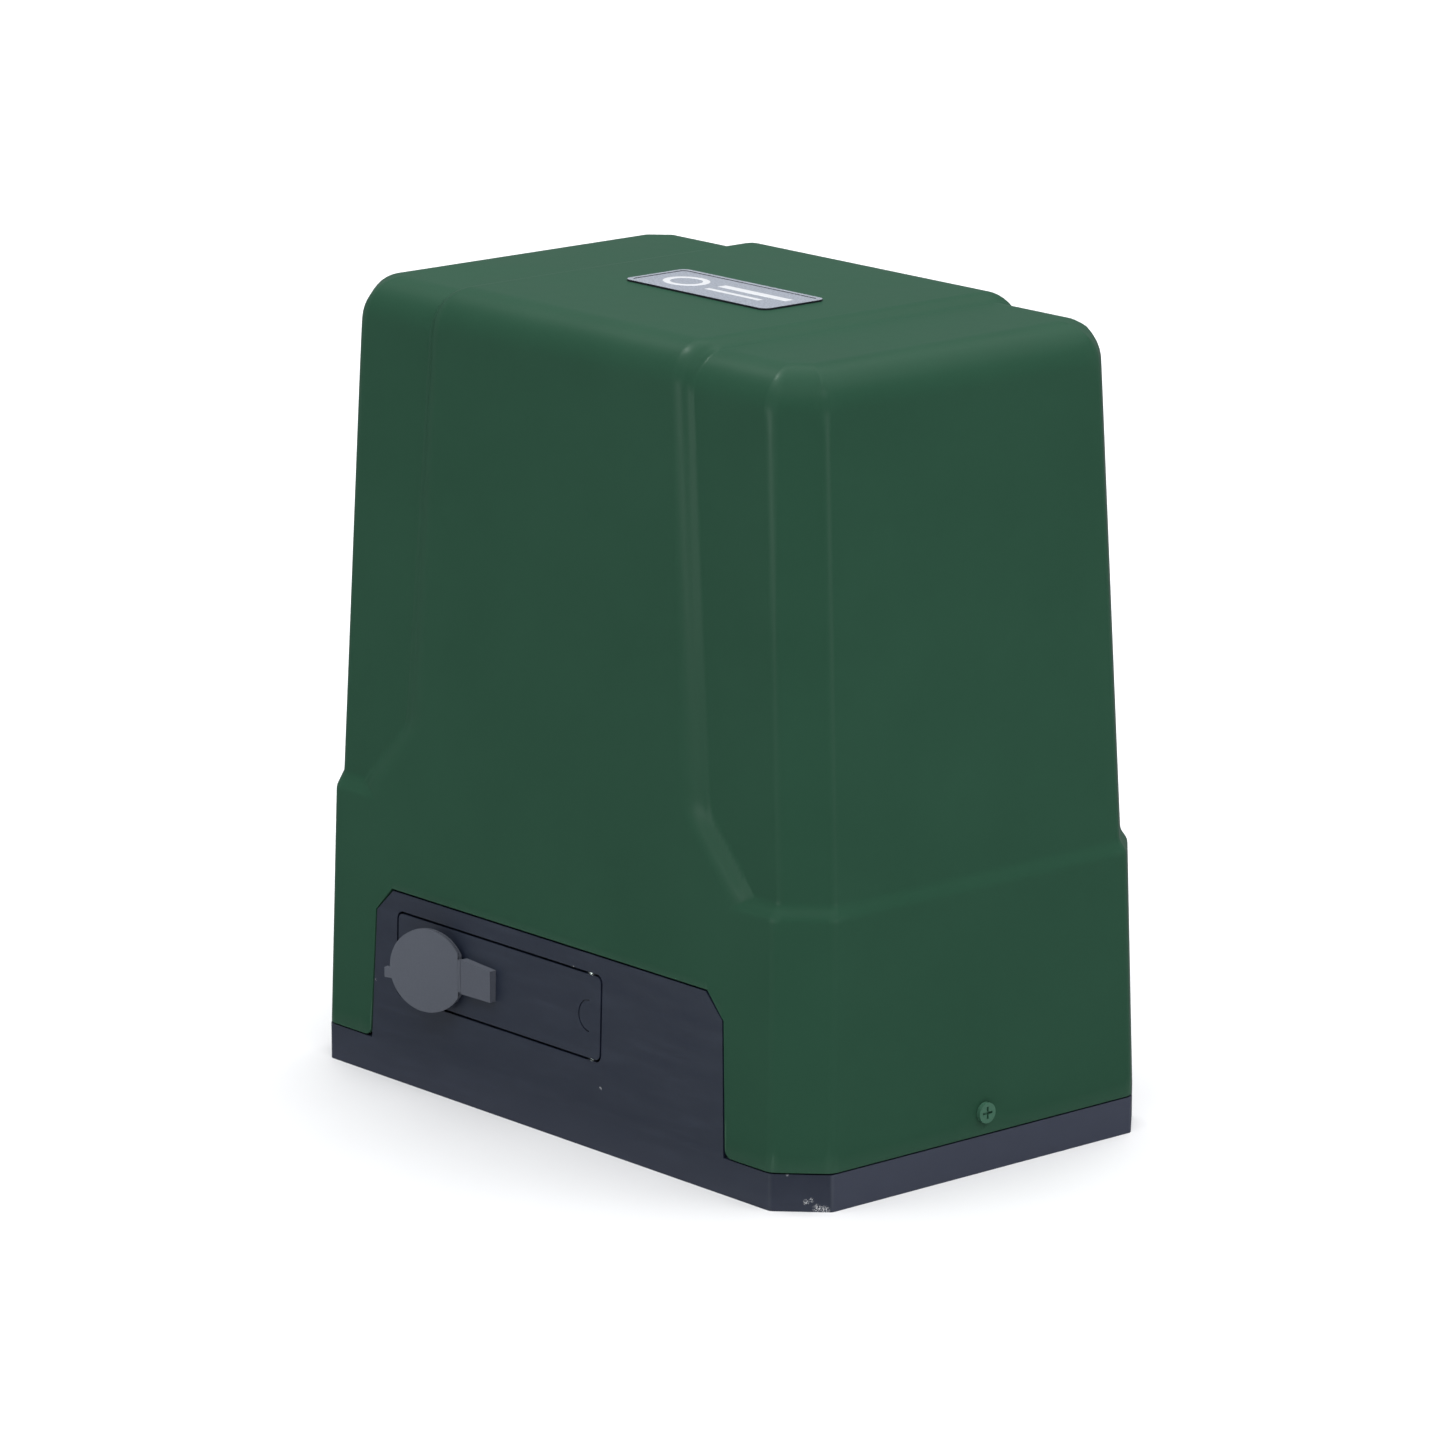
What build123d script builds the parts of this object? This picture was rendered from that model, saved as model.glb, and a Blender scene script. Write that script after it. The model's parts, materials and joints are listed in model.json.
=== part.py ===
from build123d import *
import os
from math import atan, cos, degrees, pi, radians, sin, tan

# Sliding-gate operator: millimetres, +Z up, +X along the wide front, -Y towards
# the person who opens the release lever. The origin is on the ground, at the
# centre of the base's underside.

# ---------------------------------------------------------------- driving sizes
BASE_HALF_X = 148.0
BASE_HALF_Y = 93.0
BASE_CORNER = 16.5          # leg of the base's corner chamfers
STRIP_TOP = 14.3            # top of the dark strip that shows under the cover
FLOOR = 6.0                 # thickness of the base's floor

COVER_BOTTOM = STRIP_TOP + 0.6
SHOULDER_LOW = (111.3, 146.4, 90.2, 16.4)     # height, half length, half width, chamfer leg
SHOULDER_HIGH = (115.4, 144.5, 86.7, 14.9)
MARGIN_TOP = (313.8, 133.6, 82.6, 14.6)       # top either side of the raised band
TOP_ROUND = 16.0
COVER_WALL = 3.2
COVER_HEIGHT = 316.6        # top of the raised band
BAND_HALF_TOP = 70.0
BAND_HALF_LOW = 80.5
BAND_HALF_FOOT = 107.0
BAND_BEND = 143.0           # height where the band starts to splay
BAND_PROUD = 3.3

PANEL_HALF_LOW = 105.3      # the dark front panel, seen through the cover's cut-out
PANEL_HALF_HIGH = 103.0
PANEL_BEND = 66.7
PANEL_HALF_TOP = 93.3
PANEL_TOP = 76.0
PANEL_GAP = 0.7
PANEL_WALL = 3.5

LEVER_LEFT = -89.5
LEVER_RIGHT = 33.0
LEVER_LOW = 35.5
LEVER_HIGH = 68.0
LEVER_GAP = 1.0
LEVER_THICK = 5.0
HINGE_X = 24.5
HINGE_Y = -87.5
HINGE_PIN_R = 2.5
BARREL_R = 4.0
POCKET_WALL = 2.5
POCKET_BACK = -73.0         # inner face of the pocket's back wall
POCKET_MARGIN = 1.5
LOCK_X = -63.2
LOCK_Z = 51.9
BARREL_LOCK_R = 8.0
PLUG_R = 5.0
RECESS_R = 10.5
RECESS_FLOOR = -89.2        # y of the recess that takes the rubber cap's stopper
CAP_R = 16.6
CAP_THICK = 2.2
CAP_GROOVE = 0.5            # width and depth of the groove round the cap's rim
CAP_GROOVE_AT = 0.7         # from the back of the cap's disc
CAP_BACK = -92.7            # back of the cap's disc when it is shut
CAP_HINGE_X = -48.4
CAP_HINGE_Y = -94.0
CAP_OPEN = 20.0             # the cap stands ajar by this angle at rest
STRAP_RIGHT = -29.4
STRAP_HALF = 7.0
NECK_R = 1.1                # round neck between cap and strap, on the cap's hinge axis

DRIVE_X = 26.0              # output shaft, along Y
DRIVE_Z = 52.0
STROKE = 5.0                # travel of the release rod over the lever's quarter turn
ROD_R = 4.0
RUN_FIT = 0.05              # radial clearance of running parts

WORM_MODULE = 2.5
WHEEL_TEETH = 24
WORM_PITCH_R = 15.0
WORM_LENGTH = 30.0
WORM_PHASE = 210.0
TOOTH_PLAY = 0.45           # backlash taken off each flank pair
WHEEL_WIDTH = 20.0
LEAD = pi * WORM_MODULE
WHEEL_PITCH_R = WORM_MODULE * WHEEL_TEETH / 2
CENTRES = WORM_PITCH_R + WHEEL_PITCH_R
MOTOR_X = DRIVE_X - CENTRES

PINION_MODULE = 4.0
PINION_TEETH = 16
PINION_NEAR = 96.0
PINION_FAR = 124.0

BOLT_SPACING_X = 236.0      # holes that hold the operator on its foundation plate
BOLT_SPACING_Y = 126.0
BOLT_HOLE_R = 5.5
CABLE_X = 104.0
CABLE_Y = 0.0
CABLE_R = 14.0

os.makedirs("parts", exist_ok=True)


def save(block, name):
    """Label a finished piece and write it as its own STEP file."""
    block.part.label = name
    export_step(block.part, f"parts/{name}.step")


# ------------------------------------------------------------------ helpers
def chamfered_ring(z, half_x, half_y, leg):
    """A level rectangle with equal corner chamfers, centred on the Z axis."""
    with BuildSketch(Plane.XY.offset(z)) as ring:
        Rectangle(2 * half_x, 2 * half_y)
        chamfer(ring.vertices(), leg)
    return ring.sketch


def inset_ring(station, inset):
    """One of the cover's outlines, moved inwards by the wall."""
    z, half_x, half_y, leg = station
    return chamfered_ring(z, half_x - inset, half_y - inset, leg - inset * (2 - 2 ** 0.5))


def front_plane(y):
    """Plane facing -Y at the given y: sketch x is +X and sketch y is +Z."""
    return Plane(origin=(0, y, 0), x_dir=(1, 0, 0), z_dir=(0, -1, 0))


def rear_plane(y):
    """Plane facing +Y at the given y: sketch x is -X and sketch y is +Z."""
    return Plane(origin=(0, y, 0), x_dir=(-1, 0, 0), z_dir=(0, 1, 0))


def drive_plane(y):
    """Plane facing +Y, centred on the output shaft."""
    return Plane(origin=(DRIVE_X, y, DRIVE_Z), x_dir=(1, 0, 0), z_dir=(0, 1, 0))


def motor_plane(z):
    """Level plane centred on the motor's axis."""
    return Plane(origin=(MOTOR_X, 0, z), x_dir=(1, 0, 0), z_dir=(0, 0, 1))


def panel_outline(grow):
    """The front panel's outline, grown by a gap, for the current line block."""
    low = PANEL_HALF_LOW + grow
    high = PANEL_HALF_HIGH + grow
    top = PANEL_HALF_TOP + grow
    Polyline(
        (-low, 0),
        (-low, STRIP_TOP),
        (-high, PANEL_BEND + grow / 2),
        (-top, PANEL_TOP + grow),
        (top, PANEL_TOP + grow),
        (high, PANEL_BEND + grow / 2),
        (low, STRIP_TOP),
        (low, 0),
        close=True,
    )


def main_form(inset):
    """The cover without its raised band: skirt, shoulder and tapering hood."""
    skirt_bottom = (COVER_BOTTOM - 4 * (inset > 0), BASE_HALF_X, BASE_HALF_Y, BASE_CORNER)
    z, half_x, half_y, leg = MARGIN_TOP
    hood_top = (z - inset, half_x, half_y, leg)
    with BuildPart() as hood:
        loft([inset_ring(SHOULDER_HIGH, inset), inset_ring(hood_top, inset)])
        fillet(hood.faces().sort_by(Axis.Z)[-1].edges(), TOP_ROUND - inset)
    with BuildPart() as form:
        loft([inset_ring(skirt_bottom, inset), inset_ring(SHOULDER_LOW, inset)])
        loft([inset_ring(SHOULDER_LOW, inset), inset_ring(SHOULDER_HIGH, inset)])
        add(hood.part)
    return form.part


def band_form(inset):
    """The raised band that runs up the front, over the top and down the back."""
    foot_z = SHOULDER_LOW[0] - 8
    half_top = MARGIN_TOP[2] + BAND_PROUD - inset
    with BuildPart() as band:
        loft([
            inset_ring((SHOULDER_LOW[0], SHOULDER_LOW[1], SHOULDER_LOW[2], 2), inset),
            inset_ring((COVER_HEIGHT - inset, MARGIN_TOP[1], half_top + inset, 2), inset),
        ])
        front_top = band.faces().sort_by(Axis.Z)[-1].edges().filter_by(Axis.X)
        fillet(front_top, TOP_ROUND - inset)
        with BuildSketch(front_plane(-BASE_HALF_Y - 5)):
            with BuildLine():
                Polyline(
                    (-BAND_HALF_FOOT + inset, foot_z),
                    (-BAND_HALF_FOOT + inset, SHOULDER_HIGH[0]),
                    (-BAND_HALF_LOW + inset, BAND_BEND),
                    (-BAND_HALF_TOP + inset, COVER_HEIGHT + 5),
                    (BAND_HALF_TOP - inset, COVER_HEIGHT + 5),
                    (BAND_HALF_LOW - inset, BAND_BEND),
                    (BAND_HALF_FOOT - inset, SHOULDER_HIGH[0]),
                    (BAND_HALF_FOOT - inset, foot_z),
                    close=True,
                )
            make_face()
        extrude(amount=-2 * BASE_HALF_Y - 10, mode=Mode.INTERSECT)
    return band.part


def skirt_block(inset):
    """Solid skirt of the cover, used to make the panels flush with it."""
    with BuildPart() as block:
        loft([
            inset_ring((STRIP_TOP, BASE_HALF_X, BASE_HALF_Y, BASE_CORNER), inset),
            inset_ring(SHOULDER_LOW, inset),
        ])
    return block.part


def slab(x_range, y_range, z_range, mode=Mode.ADD):
    """Box between the given limits, in the current part block."""
    with BuildSketch(Plane.XY.offset(z_range[0])) as outline:
        with Locations(((x_range[0] + x_range[1]) / 2, (y_range[0] + y_range[1]) / 2)):
            Rectangle(x_range[1] - x_range[0], y_range[1] - y_range[0])
    extrude(outline.sketch, amount=z_range[1] - z_range[0], mode=mode)


def disc(plane, radius, length, at=(0, 0), mode=Mode.ADD):
    """Cylinder that grows from a plane, in the current part block."""
    with BuildSketch(plane) as outline:
        with Locations(at):
            Circle(radius)
    extrude(outline.sketch, amount=length, mode=mode)


def ring_part(plane, outer, inner, length):
    """Plain ring such as a bearing, seal or washer."""
    with BuildPart() as ring:
        with BuildSketch(plane):
            Circle(outer)
            Circle(inner, mode=Mode.SUBTRACT)
        extrude(amount=length)
    return ring


def screw_group(plane, places, shank_r, shank_length, head_r, head_height, drive="cross"):
    """Identical screws whose heads rest on the plane and whose shanks go into it."""
    with BuildPart() as screws:
        with BuildSketch(plane):
            with Locations(*places):
                if drive == "hex":
                    RegularPolygon(head_r, 6)
                else:
                    Circle(head_r)
        extrude(amount=head_height)
        with BuildSketch(plane):
            with Locations(*places):
                Circle(shank_r)
        extrude(amount=-shank_length)
        if drive == "cross":
            with BuildSketch(plane.offset(head_height)):
                with Locations(*places):
                    Rectangle(head_r * 1.2, head_r * 0.25)
                    Rectangle(head_r * 0.25, head_r * 1.2)
            extrude(amount=-head_height * 0.6, mode=Mode.SUBTRACT)
        if drive == "socket":
            with BuildSketch(plane.offset(head_height)):
                with Locations(*places):
                    RegularPolygon(head_r * 0.58, 6)
            extrude(amount=-head_height * 0.6, mode=Mode.SUBTRACT)
    return screws


# ------------------------------------------------------------------ housing
COVER_SCREW_Z = 23.5
COVER_SCREW_R = 2.0
SCREW_HEAD_R = 4.0
SCREW_HEAD_HEIGHT = 1.8
SCREW_FACE_X = 147.95       # side of the cover at the screws' height
PLATE_SIZE = (82.0, 31.0)
PLATE_CENTRE = (2.0, -3.0)
PLATE_THICK = 0.8


def side_plane(sign):
    """Plane on the cover's right (+1) or left (-1) side, facing outwards."""
    return Plane(origin=(sign * SCREW_FACE_X, 0, 0), x_dir=(0, sign, 0), z_dir=(sign, 0, 0))


def make_cover():
    """One-piece moulded cover with a raised band and two panel cut-outs."""
    with BuildPart() as cover:
        add(main_form(0))
        add(band_form(0))
        add(main_form(COVER_WALL), mode=Mode.SUBTRACT)
        add(band_form(COVER_WALL), mode=Mode.SUBTRACT)
        with BuildSketch(front_plane(-BASE_HALF_Y - 5)):
            with BuildLine():
                panel_outline(PANEL_GAP)
            make_face()
        extrude(amount=-2 * BASE_HALF_Y - 10, mode=Mode.SUBTRACT)
        with BuildSketch(Plane.YZ.offset(-BASE_HALF_X - 5)):
            with Locations((0, COVER_SCREW_Z)):
                Circle(COVER_SCREW_R + 0.3)
        extrude(amount=2 * BASE_HALF_X + 10, mode=Mode.SUBTRACT)
    return cover


def make_cover_screws():
    """The two pan-head screws, one on each side of the cover."""
    with BuildPart() as screws:
        for sign in (-1, 1):
            one = screw_group(side_plane(sign), [(0, COVER_SCREW_Z)], COVER_SCREW_R, 14.0,
                              SCREW_HEAD_R, SCREW_HEAD_HEIGHT)
            add(one.part)
    return screws


def make_name_plate():
    """Blank metal plate on top, with a plain raised rim."""
    with BuildPart() as plate:
        with BuildSketch(Plane.XY.offset(COVER_HEIGHT)):
            with Locations(PLATE_CENTRE):
                RectangleRounded(*PLATE_SIZE, 3.5)
        extrude(amount=PLATE_THICK)
        with BuildSketch(Plane.XY.offset(COVER_HEIGHT + PLATE_THICK)):
            with Locations(PLATE_CENTRE):
                RectangleRounded(PLATE_SIZE[0] - 4, PLATE_SIZE[1] - 4, 2.5)
        extrude(amount=-0.25, mode=Mode.SUBTRACT)
    return plate


# --------------------------------------------------------------------- base
RIM = 9.0
FOOT_X = (-70.0, 84.0)      # gearbox foot plate
FOOT_Y = 39.5
FOOT_TOP = 14.0
FOOT_BOLTS = [(FOOT_X[0] + 8, -31.0), (FOOT_X[0] + 8, 31.0),
              (FOOT_X[1] - 8, -31.0), (FOOT_X[1] - 8, 31.0)]
FOOT_BOLT_R = 4.0
BRACKET_SCREWS = [(98.0, -48.0), (98.0, 48.0)]
BRACKET_SCREW_R = 2.0
EARTH_PLACE = (-100.0, 40.0)
NOSE_R = 22.0
GROMMET_FLANGE = 3.0


def make_base():
    """Dark base: floor, strip, two flush panels and the release lever's pocket."""
    pocket_x = (LEVER_LEFT - POCKET_MARGIN, LEVER_RIGHT + POCKET_MARGIN)
    pocket_z = (LEVER_LOW - POCKET_MARGIN, LEVER_HIGH + POCKET_MARGIN)
    wall = POCKET_WALL
    panel_inner = -BASE_HALF_Y + PANEL_WALL
    with BuildPart() as panels:
        with BuildSketch(front_plane(-BASE_HALF_Y - 5)):
            with BuildLine():
                panel_outline(0)
            make_face()
        extrude(amount=-2 * BASE_HALF_Y - 10)
        add(skirt_block(0), mode=Mode.INTERSECT)
        add(skirt_block(PANEL_WALL), mode=Mode.SUBTRACT)
        slab((-BASE_HALF_X, BASE_HALF_X), (-60, 60), (0, SHOULDER_LOW[0]), Mode.SUBTRACT)
    with BuildPart() as base:
        with BuildSketch():
            add(chamfered_ring(0, BASE_HALF_X, BASE_HALF_Y, BASE_CORNER))
        extrude(amount=STRIP_TOP)
        fillet(base.edges().filter_by(Axis.Z), 3.0)
        with BuildSketch(Plane.XY.offset(FLOOR)):
            add(chamfered_ring(0, BASE_HALF_X - RIM, BASE_HALF_Y - RIM, BASE_CORNER - RIM * 0.6))
        extrude(amount=STRIP_TOP, mode=Mode.SUBTRACT)
        add(panels.part)
        # pocket behind the release lever
        slab((pocket_x[0] - wall, pocket_x[1] + wall), (panel_inner - 0.5, POCKET_BACK + wall),
             (pocket_z[0] - wall, pocket_z[1] + wall))
        slab(pocket_x, (panel_inner - 0.5, POCKET_BACK), pocket_z, Mode.SUBTRACT)
        with BuildSketch(front_plane(-BASE_HALF_Y - 5)):
            with Locations(((LEVER_LEFT + LEVER_RIGHT) / 2, (LEVER_LOW + LEVER_HIGH) / 2)):
                RectangleRounded(LEVER_RIGHT - LEVER_LEFT + 2 * LEVER_GAP,
                                 LEVER_HIGH - LEVER_LOW + 2 * LEVER_GAP, 3.5)
        extrude(amount=-12, mode=Mode.SUBTRACT)
        disc(Plane(origin=(HINGE_X, HINGE_Y, pocket_z[0] - wall), z_dir=(0, 0, 1)), HINGE_PIN_R,
             pocket_z[1] - pocket_z[0] + 2 * wall, mode=Mode.SUBTRACT)
        disc(drive_plane(POCKET_BACK - 1), ROD_R + RUN_FIT, wall + 2, mode=Mode.SUBTRACT)
        # opening for the gearbox nose in the rear panel
        disc(drive_plane(80), NOSE_R + 1.5, 20, mode=Mode.SUBTRACT)
        # bosses for the cover screws
        for sign in (-1, 1):
            inner = sign * (BASE_HALF_X - 18)
            outer = sign * (SCREW_FACE_X - COVER_WALL - 0.4)
            slab((min(inner, outer), max(inner, outer)), (-8, 8), (FLOOR, COVER_SCREW_Z + 8))
            hole = Plane(origin=(outer, 0, COVER_SCREW_Z), x_dir=(0, 1, 0), z_dir=(-sign, 0, 0))
            disc(hole, COVER_SCREW_R, 13, mode=Mode.SUBTRACT)
        # holes through the floor
        with BuildSketch(Plane.XY):
            with GridLocations(BOLT_SPACING_X, BOLT_SPACING_Y, 2, 2):
                Circle(BOLT_HOLE_R)
            with Locations((CABLE_X, CABLE_Y)):
                Circle(CABLE_R)
        extrude(amount=FLOOR, mode=Mode.SUBTRACT)
        with BuildSketch(Plane.XY.offset(FLOOR)):
            with Locations(*FOOT_BOLTS):
                Circle(FOOT_BOLT_R)
            with Locations(*BRACKET_SCREWS, EARTH_PLACE):
                Circle(BRACKET_SCREW_R)
        extrude(amount=-FLOOR + 1, mode=Mode.SUBTRACT)
    return base


def make_grommet():
    """Rubber cable grommet in the floor's cable hole."""
    with BuildPart() as grommet:
        hole = Plane(origin=(CABLE_X, CABLE_Y, 0), z_dir=(0, 0, 1))
        disc(hole.offset(FLOOR), CABLE_R + GROMMET_FLANGE, 2)
        disc(hole, CABLE_R, FLOOR)
        disc(hole, CABLE_R - 4, FLOOR + 2, mode=Mode.SUBTRACT)
    return grommet


# ------------------------------------------------------------ release lever
LEVER_BACK = -BASE_HALF_Y + 1 + LEVER_THICK
LOCK_BOSS_DEPTH = 8.0
CAM_HEIGHT = 14.0
CAM_STEP = 15.0             # degrees between the cam's computed points
MARK_R = 6.4                # half-round mark beside the hinge
MARK_LINE = 0.6
BARREL_BACK = -77.0
PLUG_FACE = -89.6
PLUG_NECK_R = 2.5
KEY_SLOT = (1.4, 6.5)
TONGUE_BACK = -74.3
TONGUE_THICK = 2.4


def make_release_lever():
    """Bar flush with the front panel; its hinge end carries a cam for the release rod."""
    middle_x = (LEVER_LEFT + LEVER_RIGHT) / 2
    middle_z = (LEVER_LOW + LEVER_HIGH) / 2
    with BuildPart() as lever:
        with BuildSketch(front_plane(-BASE_HALF_Y - 5)):
            with Locations((middle_x, middle_z)):
                RectangleRounded(LEVER_RIGHT - LEVER_LEFT, LEVER_HIGH - LEVER_LOW, 2.5)
        extrude(amount=-(BASE_HALF_Y + 5 + LEVER_BACK))
        add(skirt_block(0), mode=Mode.INTERSECT)
        right_edges = lever.edges().filter_by(Axis.Z).sort_by(Axis.X)[-2:]
        fillet(right_edges, 1.5)
        # boss for the lock and barrel for the hinge pin
        disc(rear_plane(LEVER_BACK), BARREL_LOCK_R + 3, LOCK_BOSS_DEPTH, at=(-LOCK_X, LOCK_Z))
        disc(Plane(origin=(HINGE_X, HINGE_Y, LEVER_LOW + 0.5), z_dir=(0, 0, 1)), BARREL_R,
             LEVER_HIGH - LEVER_LOW - 1)
        # cam: a flat-faced follower moves in proportion to the lever's angle
        growth = STROKE / (pi / 2)
        with BuildSketch(Plane(origin=(HINGE_X, HINGE_Y, DRIVE_Z - CAM_HEIGHT / 2), z_dir=(0, 0, 1))):
            with BuildLine():
                cam_points = []
                for step in range(7):
                    angle = radians(90 - CAM_STEP * step)
                    lift = BARREL_R + growth * (pi / 2 - angle)
                    cam_points.append((lift * cos(angle) + growth * sin(angle),
                                       lift * sin(angle) - growth * cos(angle)))
                flank = Spline(*cam_points)
                Polyline(flank @ 1, (0, -growth), (0, BARREL_R), flank @ 0)
            make_face()
        extrude(amount=CAM_HEIGHT)
        disc(Plane(origin=(HINGE_X, HINGE_Y, LEVER_LOW - 1), z_dir=(0, 0, 1)),
             HINGE_PIN_R + RUN_FIT, LEVER_HIGH - LEVER_LOW + 2, mode=Mode.SUBTRACT)
        # recess and bore for the lock, seen behind the rubber cap
        disc(front_plane(RECESS_FLOOR), RECESS_R, LOCK_BOSS_DEPTH, at=(LOCK_X, LOCK_Z), mode=Mode.SUBTRACT)
        disc(front_plane(LEVER_BACK + LOCK_BOSS_DEPTH + 1), BARREL_LOCK_R, 20, at=(LOCK_X, LOCK_Z),
             mode=Mode.SUBTRACT)
        # shallow half-round mark beside the hinge
        with BuildSketch(front_plane(-BASE_HALF_Y - 2)):
            with Locations((HINGE_X + 2, LOCK_Z)):
                Circle(MARK_R)
                Circle(MARK_R - MARK_LINE, mode=Mode.SUBTRACT)
                with Locations((MARK_R + 0.6, 0)):
                    Rectangle(2 * MARK_R + 1.2, 2 * MARK_R + 1.2, mode=Mode.SUBTRACT)
        extrude(amount=-3.6, mode=Mode.SUBTRACT)
    return lever


def make_hinge_pin():
    """Steel pin that the lever turns on, pressed into the pocket's roof and floor."""
    low = LEVER_LOW - POCKET_MARGIN - POCKET_WALL
    high = LEVER_HIGH + POCKET_MARGIN + POCKET_WALL
    with BuildPart() as pin:
        disc(Plane(origin=(HINGE_X, HINGE_Y, low), z_dir=(0, 0, 1)), HINGE_PIN_R, high - low)
    return pin


def make_lock_barrel():
    """Fixed body of the key lock."""
    with BuildPart() as barrel:
        disc(front_plane(BARREL_BACK), BARREL_LOCK_R, BARREL_BACK - RECESS_FLOOR, at=(LOCK_X, LOCK_Z))
        disc(front_plane(BARREL_BACK + 7), PLUG_R + RUN_FIT, 30, at=(LOCK_X, LOCK_Z),
             mode=Mode.SUBTRACT)
    return barrel


def make_lock_plug():
    """Turning core of the lock, with a key slot in front and a neck for the tongue."""
    with BuildPart() as plug:
        disc(front_plane(BARREL_BACK + 0.2), PLUG_R, BARREL_BACK + 0.2 - PLUG_FACE, at=(LOCK_X, LOCK_Z))
        disc(front_plane(TONGUE_BACK + 0.5), PLUG_NECK_R, 3.2, at=(LOCK_X, LOCK_Z))
        with BuildSketch(front_plane(PLUG_FACE)):
            with Locations((LOCK_X, LOCK_Z)):
                Rectangle(*KEY_SLOT)
        extrude(amount=-8, mode=Mode.SUBTRACT)
    return plug


def make_lock_tongue():
    """Flat tongue on the back of the lock's plug, pointing up when locked."""
    with BuildPart() as tongue:
        with BuildSketch(front_plane(TONGUE_BACK)):
            with Locations((LOCK_X, LOCK_Z)):
                Circle(PLUG_R)
            with Locations((LOCK_X, LOCK_Z + 8)):
                Rectangle(8, 16)
            with Locations((LOCK_X, LOCK_Z)):
                Circle(PLUG_NECK_R, mode=Mode.SUBTRACT)
        extrude(amount=TONGUE_THICK)
    return tongue


def cap_frame():
    """Frame of the shut cap turned ajar: origin at its living hinge."""
    turned = Plane(origin=(CAP_HINGE_X, CAP_HINGE_Y, LOCK_Z), x_dir=(1, 0, 0), z_dir=(0, 0, 1))
    return turned.rotated((0, 0, CAP_OPEN))


def neck_plane(rise):
    """Level plane centred on the cap's hinge axis, at a height above the lock."""
    return Plane(origin=(CAP_HINGE_X, CAP_HINGE_Y, LOCK_Z + rise), z_dir=(0, 0, 1))


def make_lock_cap():
    """Round rubber cap with a stopper behind it and a small pull tab."""
    centre = LOCK_X - CAP_HINGE_X
    back = CAP_BACK - CAP_HINGE_Y
    ajar = cap_frame()
    facing = Plane(origin=ajar.from_local_coords(Vector(0, back, 0)), x_dir=ajar.x_dir,
                   z_dir=-ajar.y_dir)
    with BuildPart() as cap:
        with BuildSketch(facing):
            with Locations((centre, 0)):
                Circle(CAP_R)
            with Locations((CAP_R - 0.2, 0)):
                Rectangle(2 * CAP_R, 3 * CAP_R, mode=Mode.SUBTRACT)
        extrude(amount=CAP_THICK)
        with BuildSketch(facing.offset(CAP_GROOVE_AT)) as groove:
            with Locations((centre, 0)):
                Circle(CAP_R + 1)
                Circle(CAP_R - CAP_GROOVE, mode=Mode.SUBTRACT)
        extrude(groove.sketch, amount=CAP_GROOVE, mode=Mode.SUBTRACT)
        with BuildSketch(facing) as tab:
            with Locations((centre - CAP_R, -3)):
                Rectangle(5, 4)
        extrude(tab.sketch, amount=CAP_THICK)
        disc(facing, RECESS_R - 1, -2.6, at=(centre, 0))
        disc(neck_plane(-2 * STRAP_HALF), NECK_R + RUN_FIT, 4 * STRAP_HALF, mode=Mode.SUBTRACT)
    return cap


def make_cap_strap():
    """Rubber strap that holds the cap to the lever, with a stud through the lever."""
    left = CAP_HINGE_X + 1.3
    with BuildPart() as strap:
        with BuildSketch(front_plane(CAP_HINGE_Y - 0.9)):
            with BuildLine():
                Polyline(
                    (left, LOCK_Z - STRAP_HALF),
                    (STRAP_RIGHT, LOCK_Z - STRAP_HALF + 0.4),
                    (STRAP_RIGHT, LOCK_Z + STRAP_HALF - 1.2),
                    (left, LOCK_Z + STRAP_HALF - 0.2),
                    close=True,
                )
            make_face()
        extrude(amount=-6)
        add(skirt_block(0), mode=Mode.SUBTRACT)
        # round neck that the cap turns on, and the web that joins it to the strap
        neck_length = 2 * STRAP_HALF - 1.2
        disc(neck_plane(-neck_length / 2), NECK_R, neck_length)
        slab((CAP_HINGE_X, left + 0.2), (CAP_HINGE_Y, CAP_HINGE_Y + 1.0),
             (LOCK_Z - neck_length / 2, LOCK_Z + neck_length / 2))
    return strap


def make_release_rod():
    """Rod pushed by the lever's cam through the hollow output shaft."""
    face = HINGE_Y + BARREL_R + 0.15
    with BuildPart() as rod:
        disc(drive_plane(face), 6.0, 3.0)
        disc(drive_plane(face + 3.0), ROD_R, 5.4 - face - 3.0)
    return rod


# ------------------------------------------------------------------ gearbox
CHAMBER_R = 35.5
CHAMBER_FRONT = -40.0
CHAMBER_REAR = 20.0
HOUSING_R = 44.0
LID_FRONT = -56.0
LID_SCREW_R = 40.0
NOSE_END = 90.0
BEARING_FRONT = (-54.0, -40.0, 23.5, 10.0)     # near y, far y, outer radius, bore
BEARING_REAR = (24.0, 39.0, 26.0, 12.5)
SEAL = (82.0, 90.0, 18.5, 12.5)
SHAFT_R = 12.5
SHAFT_NECK_R = 10.0
SHAFT_NECK_Y = 92.0
PIN_Y = 9.7                 # clutch pin at rest, in the wheel's notches
PIN_R = 4.0
PIN_HALF = 20.0
NOTCH_DEPTH = 4.6
TOWER_HALF_X = 27.0
TOWER_HALF_Y = 29.0
TOWER_TOP = 104.0
FLANGE_R = 62.0
FLANGE_TOP = 112.0
WORM_BORE_R = 19.5
LID_SCREW_TURN = 30.0       # degrees of the first lid screw round the shaft
LID_HOLE_R = 2.0
LID_RIM = 8.0               # depth of the lid's rim step
COLLAR_R = 16.0
CIRCLIP_Y = 21.5
CIRCLIP_THICK = 1.5
GROOVE_DEPTH = 0.8
KEY_HALF = 3.0
KEY_DEPTH = 3.5
HUB_R = 22.0
HUB_FRONT = -24.0
WORM_BEARING = (14.5, 24.5, 16.0, 6.0)         # low z, high z, outer radius, bore
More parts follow.
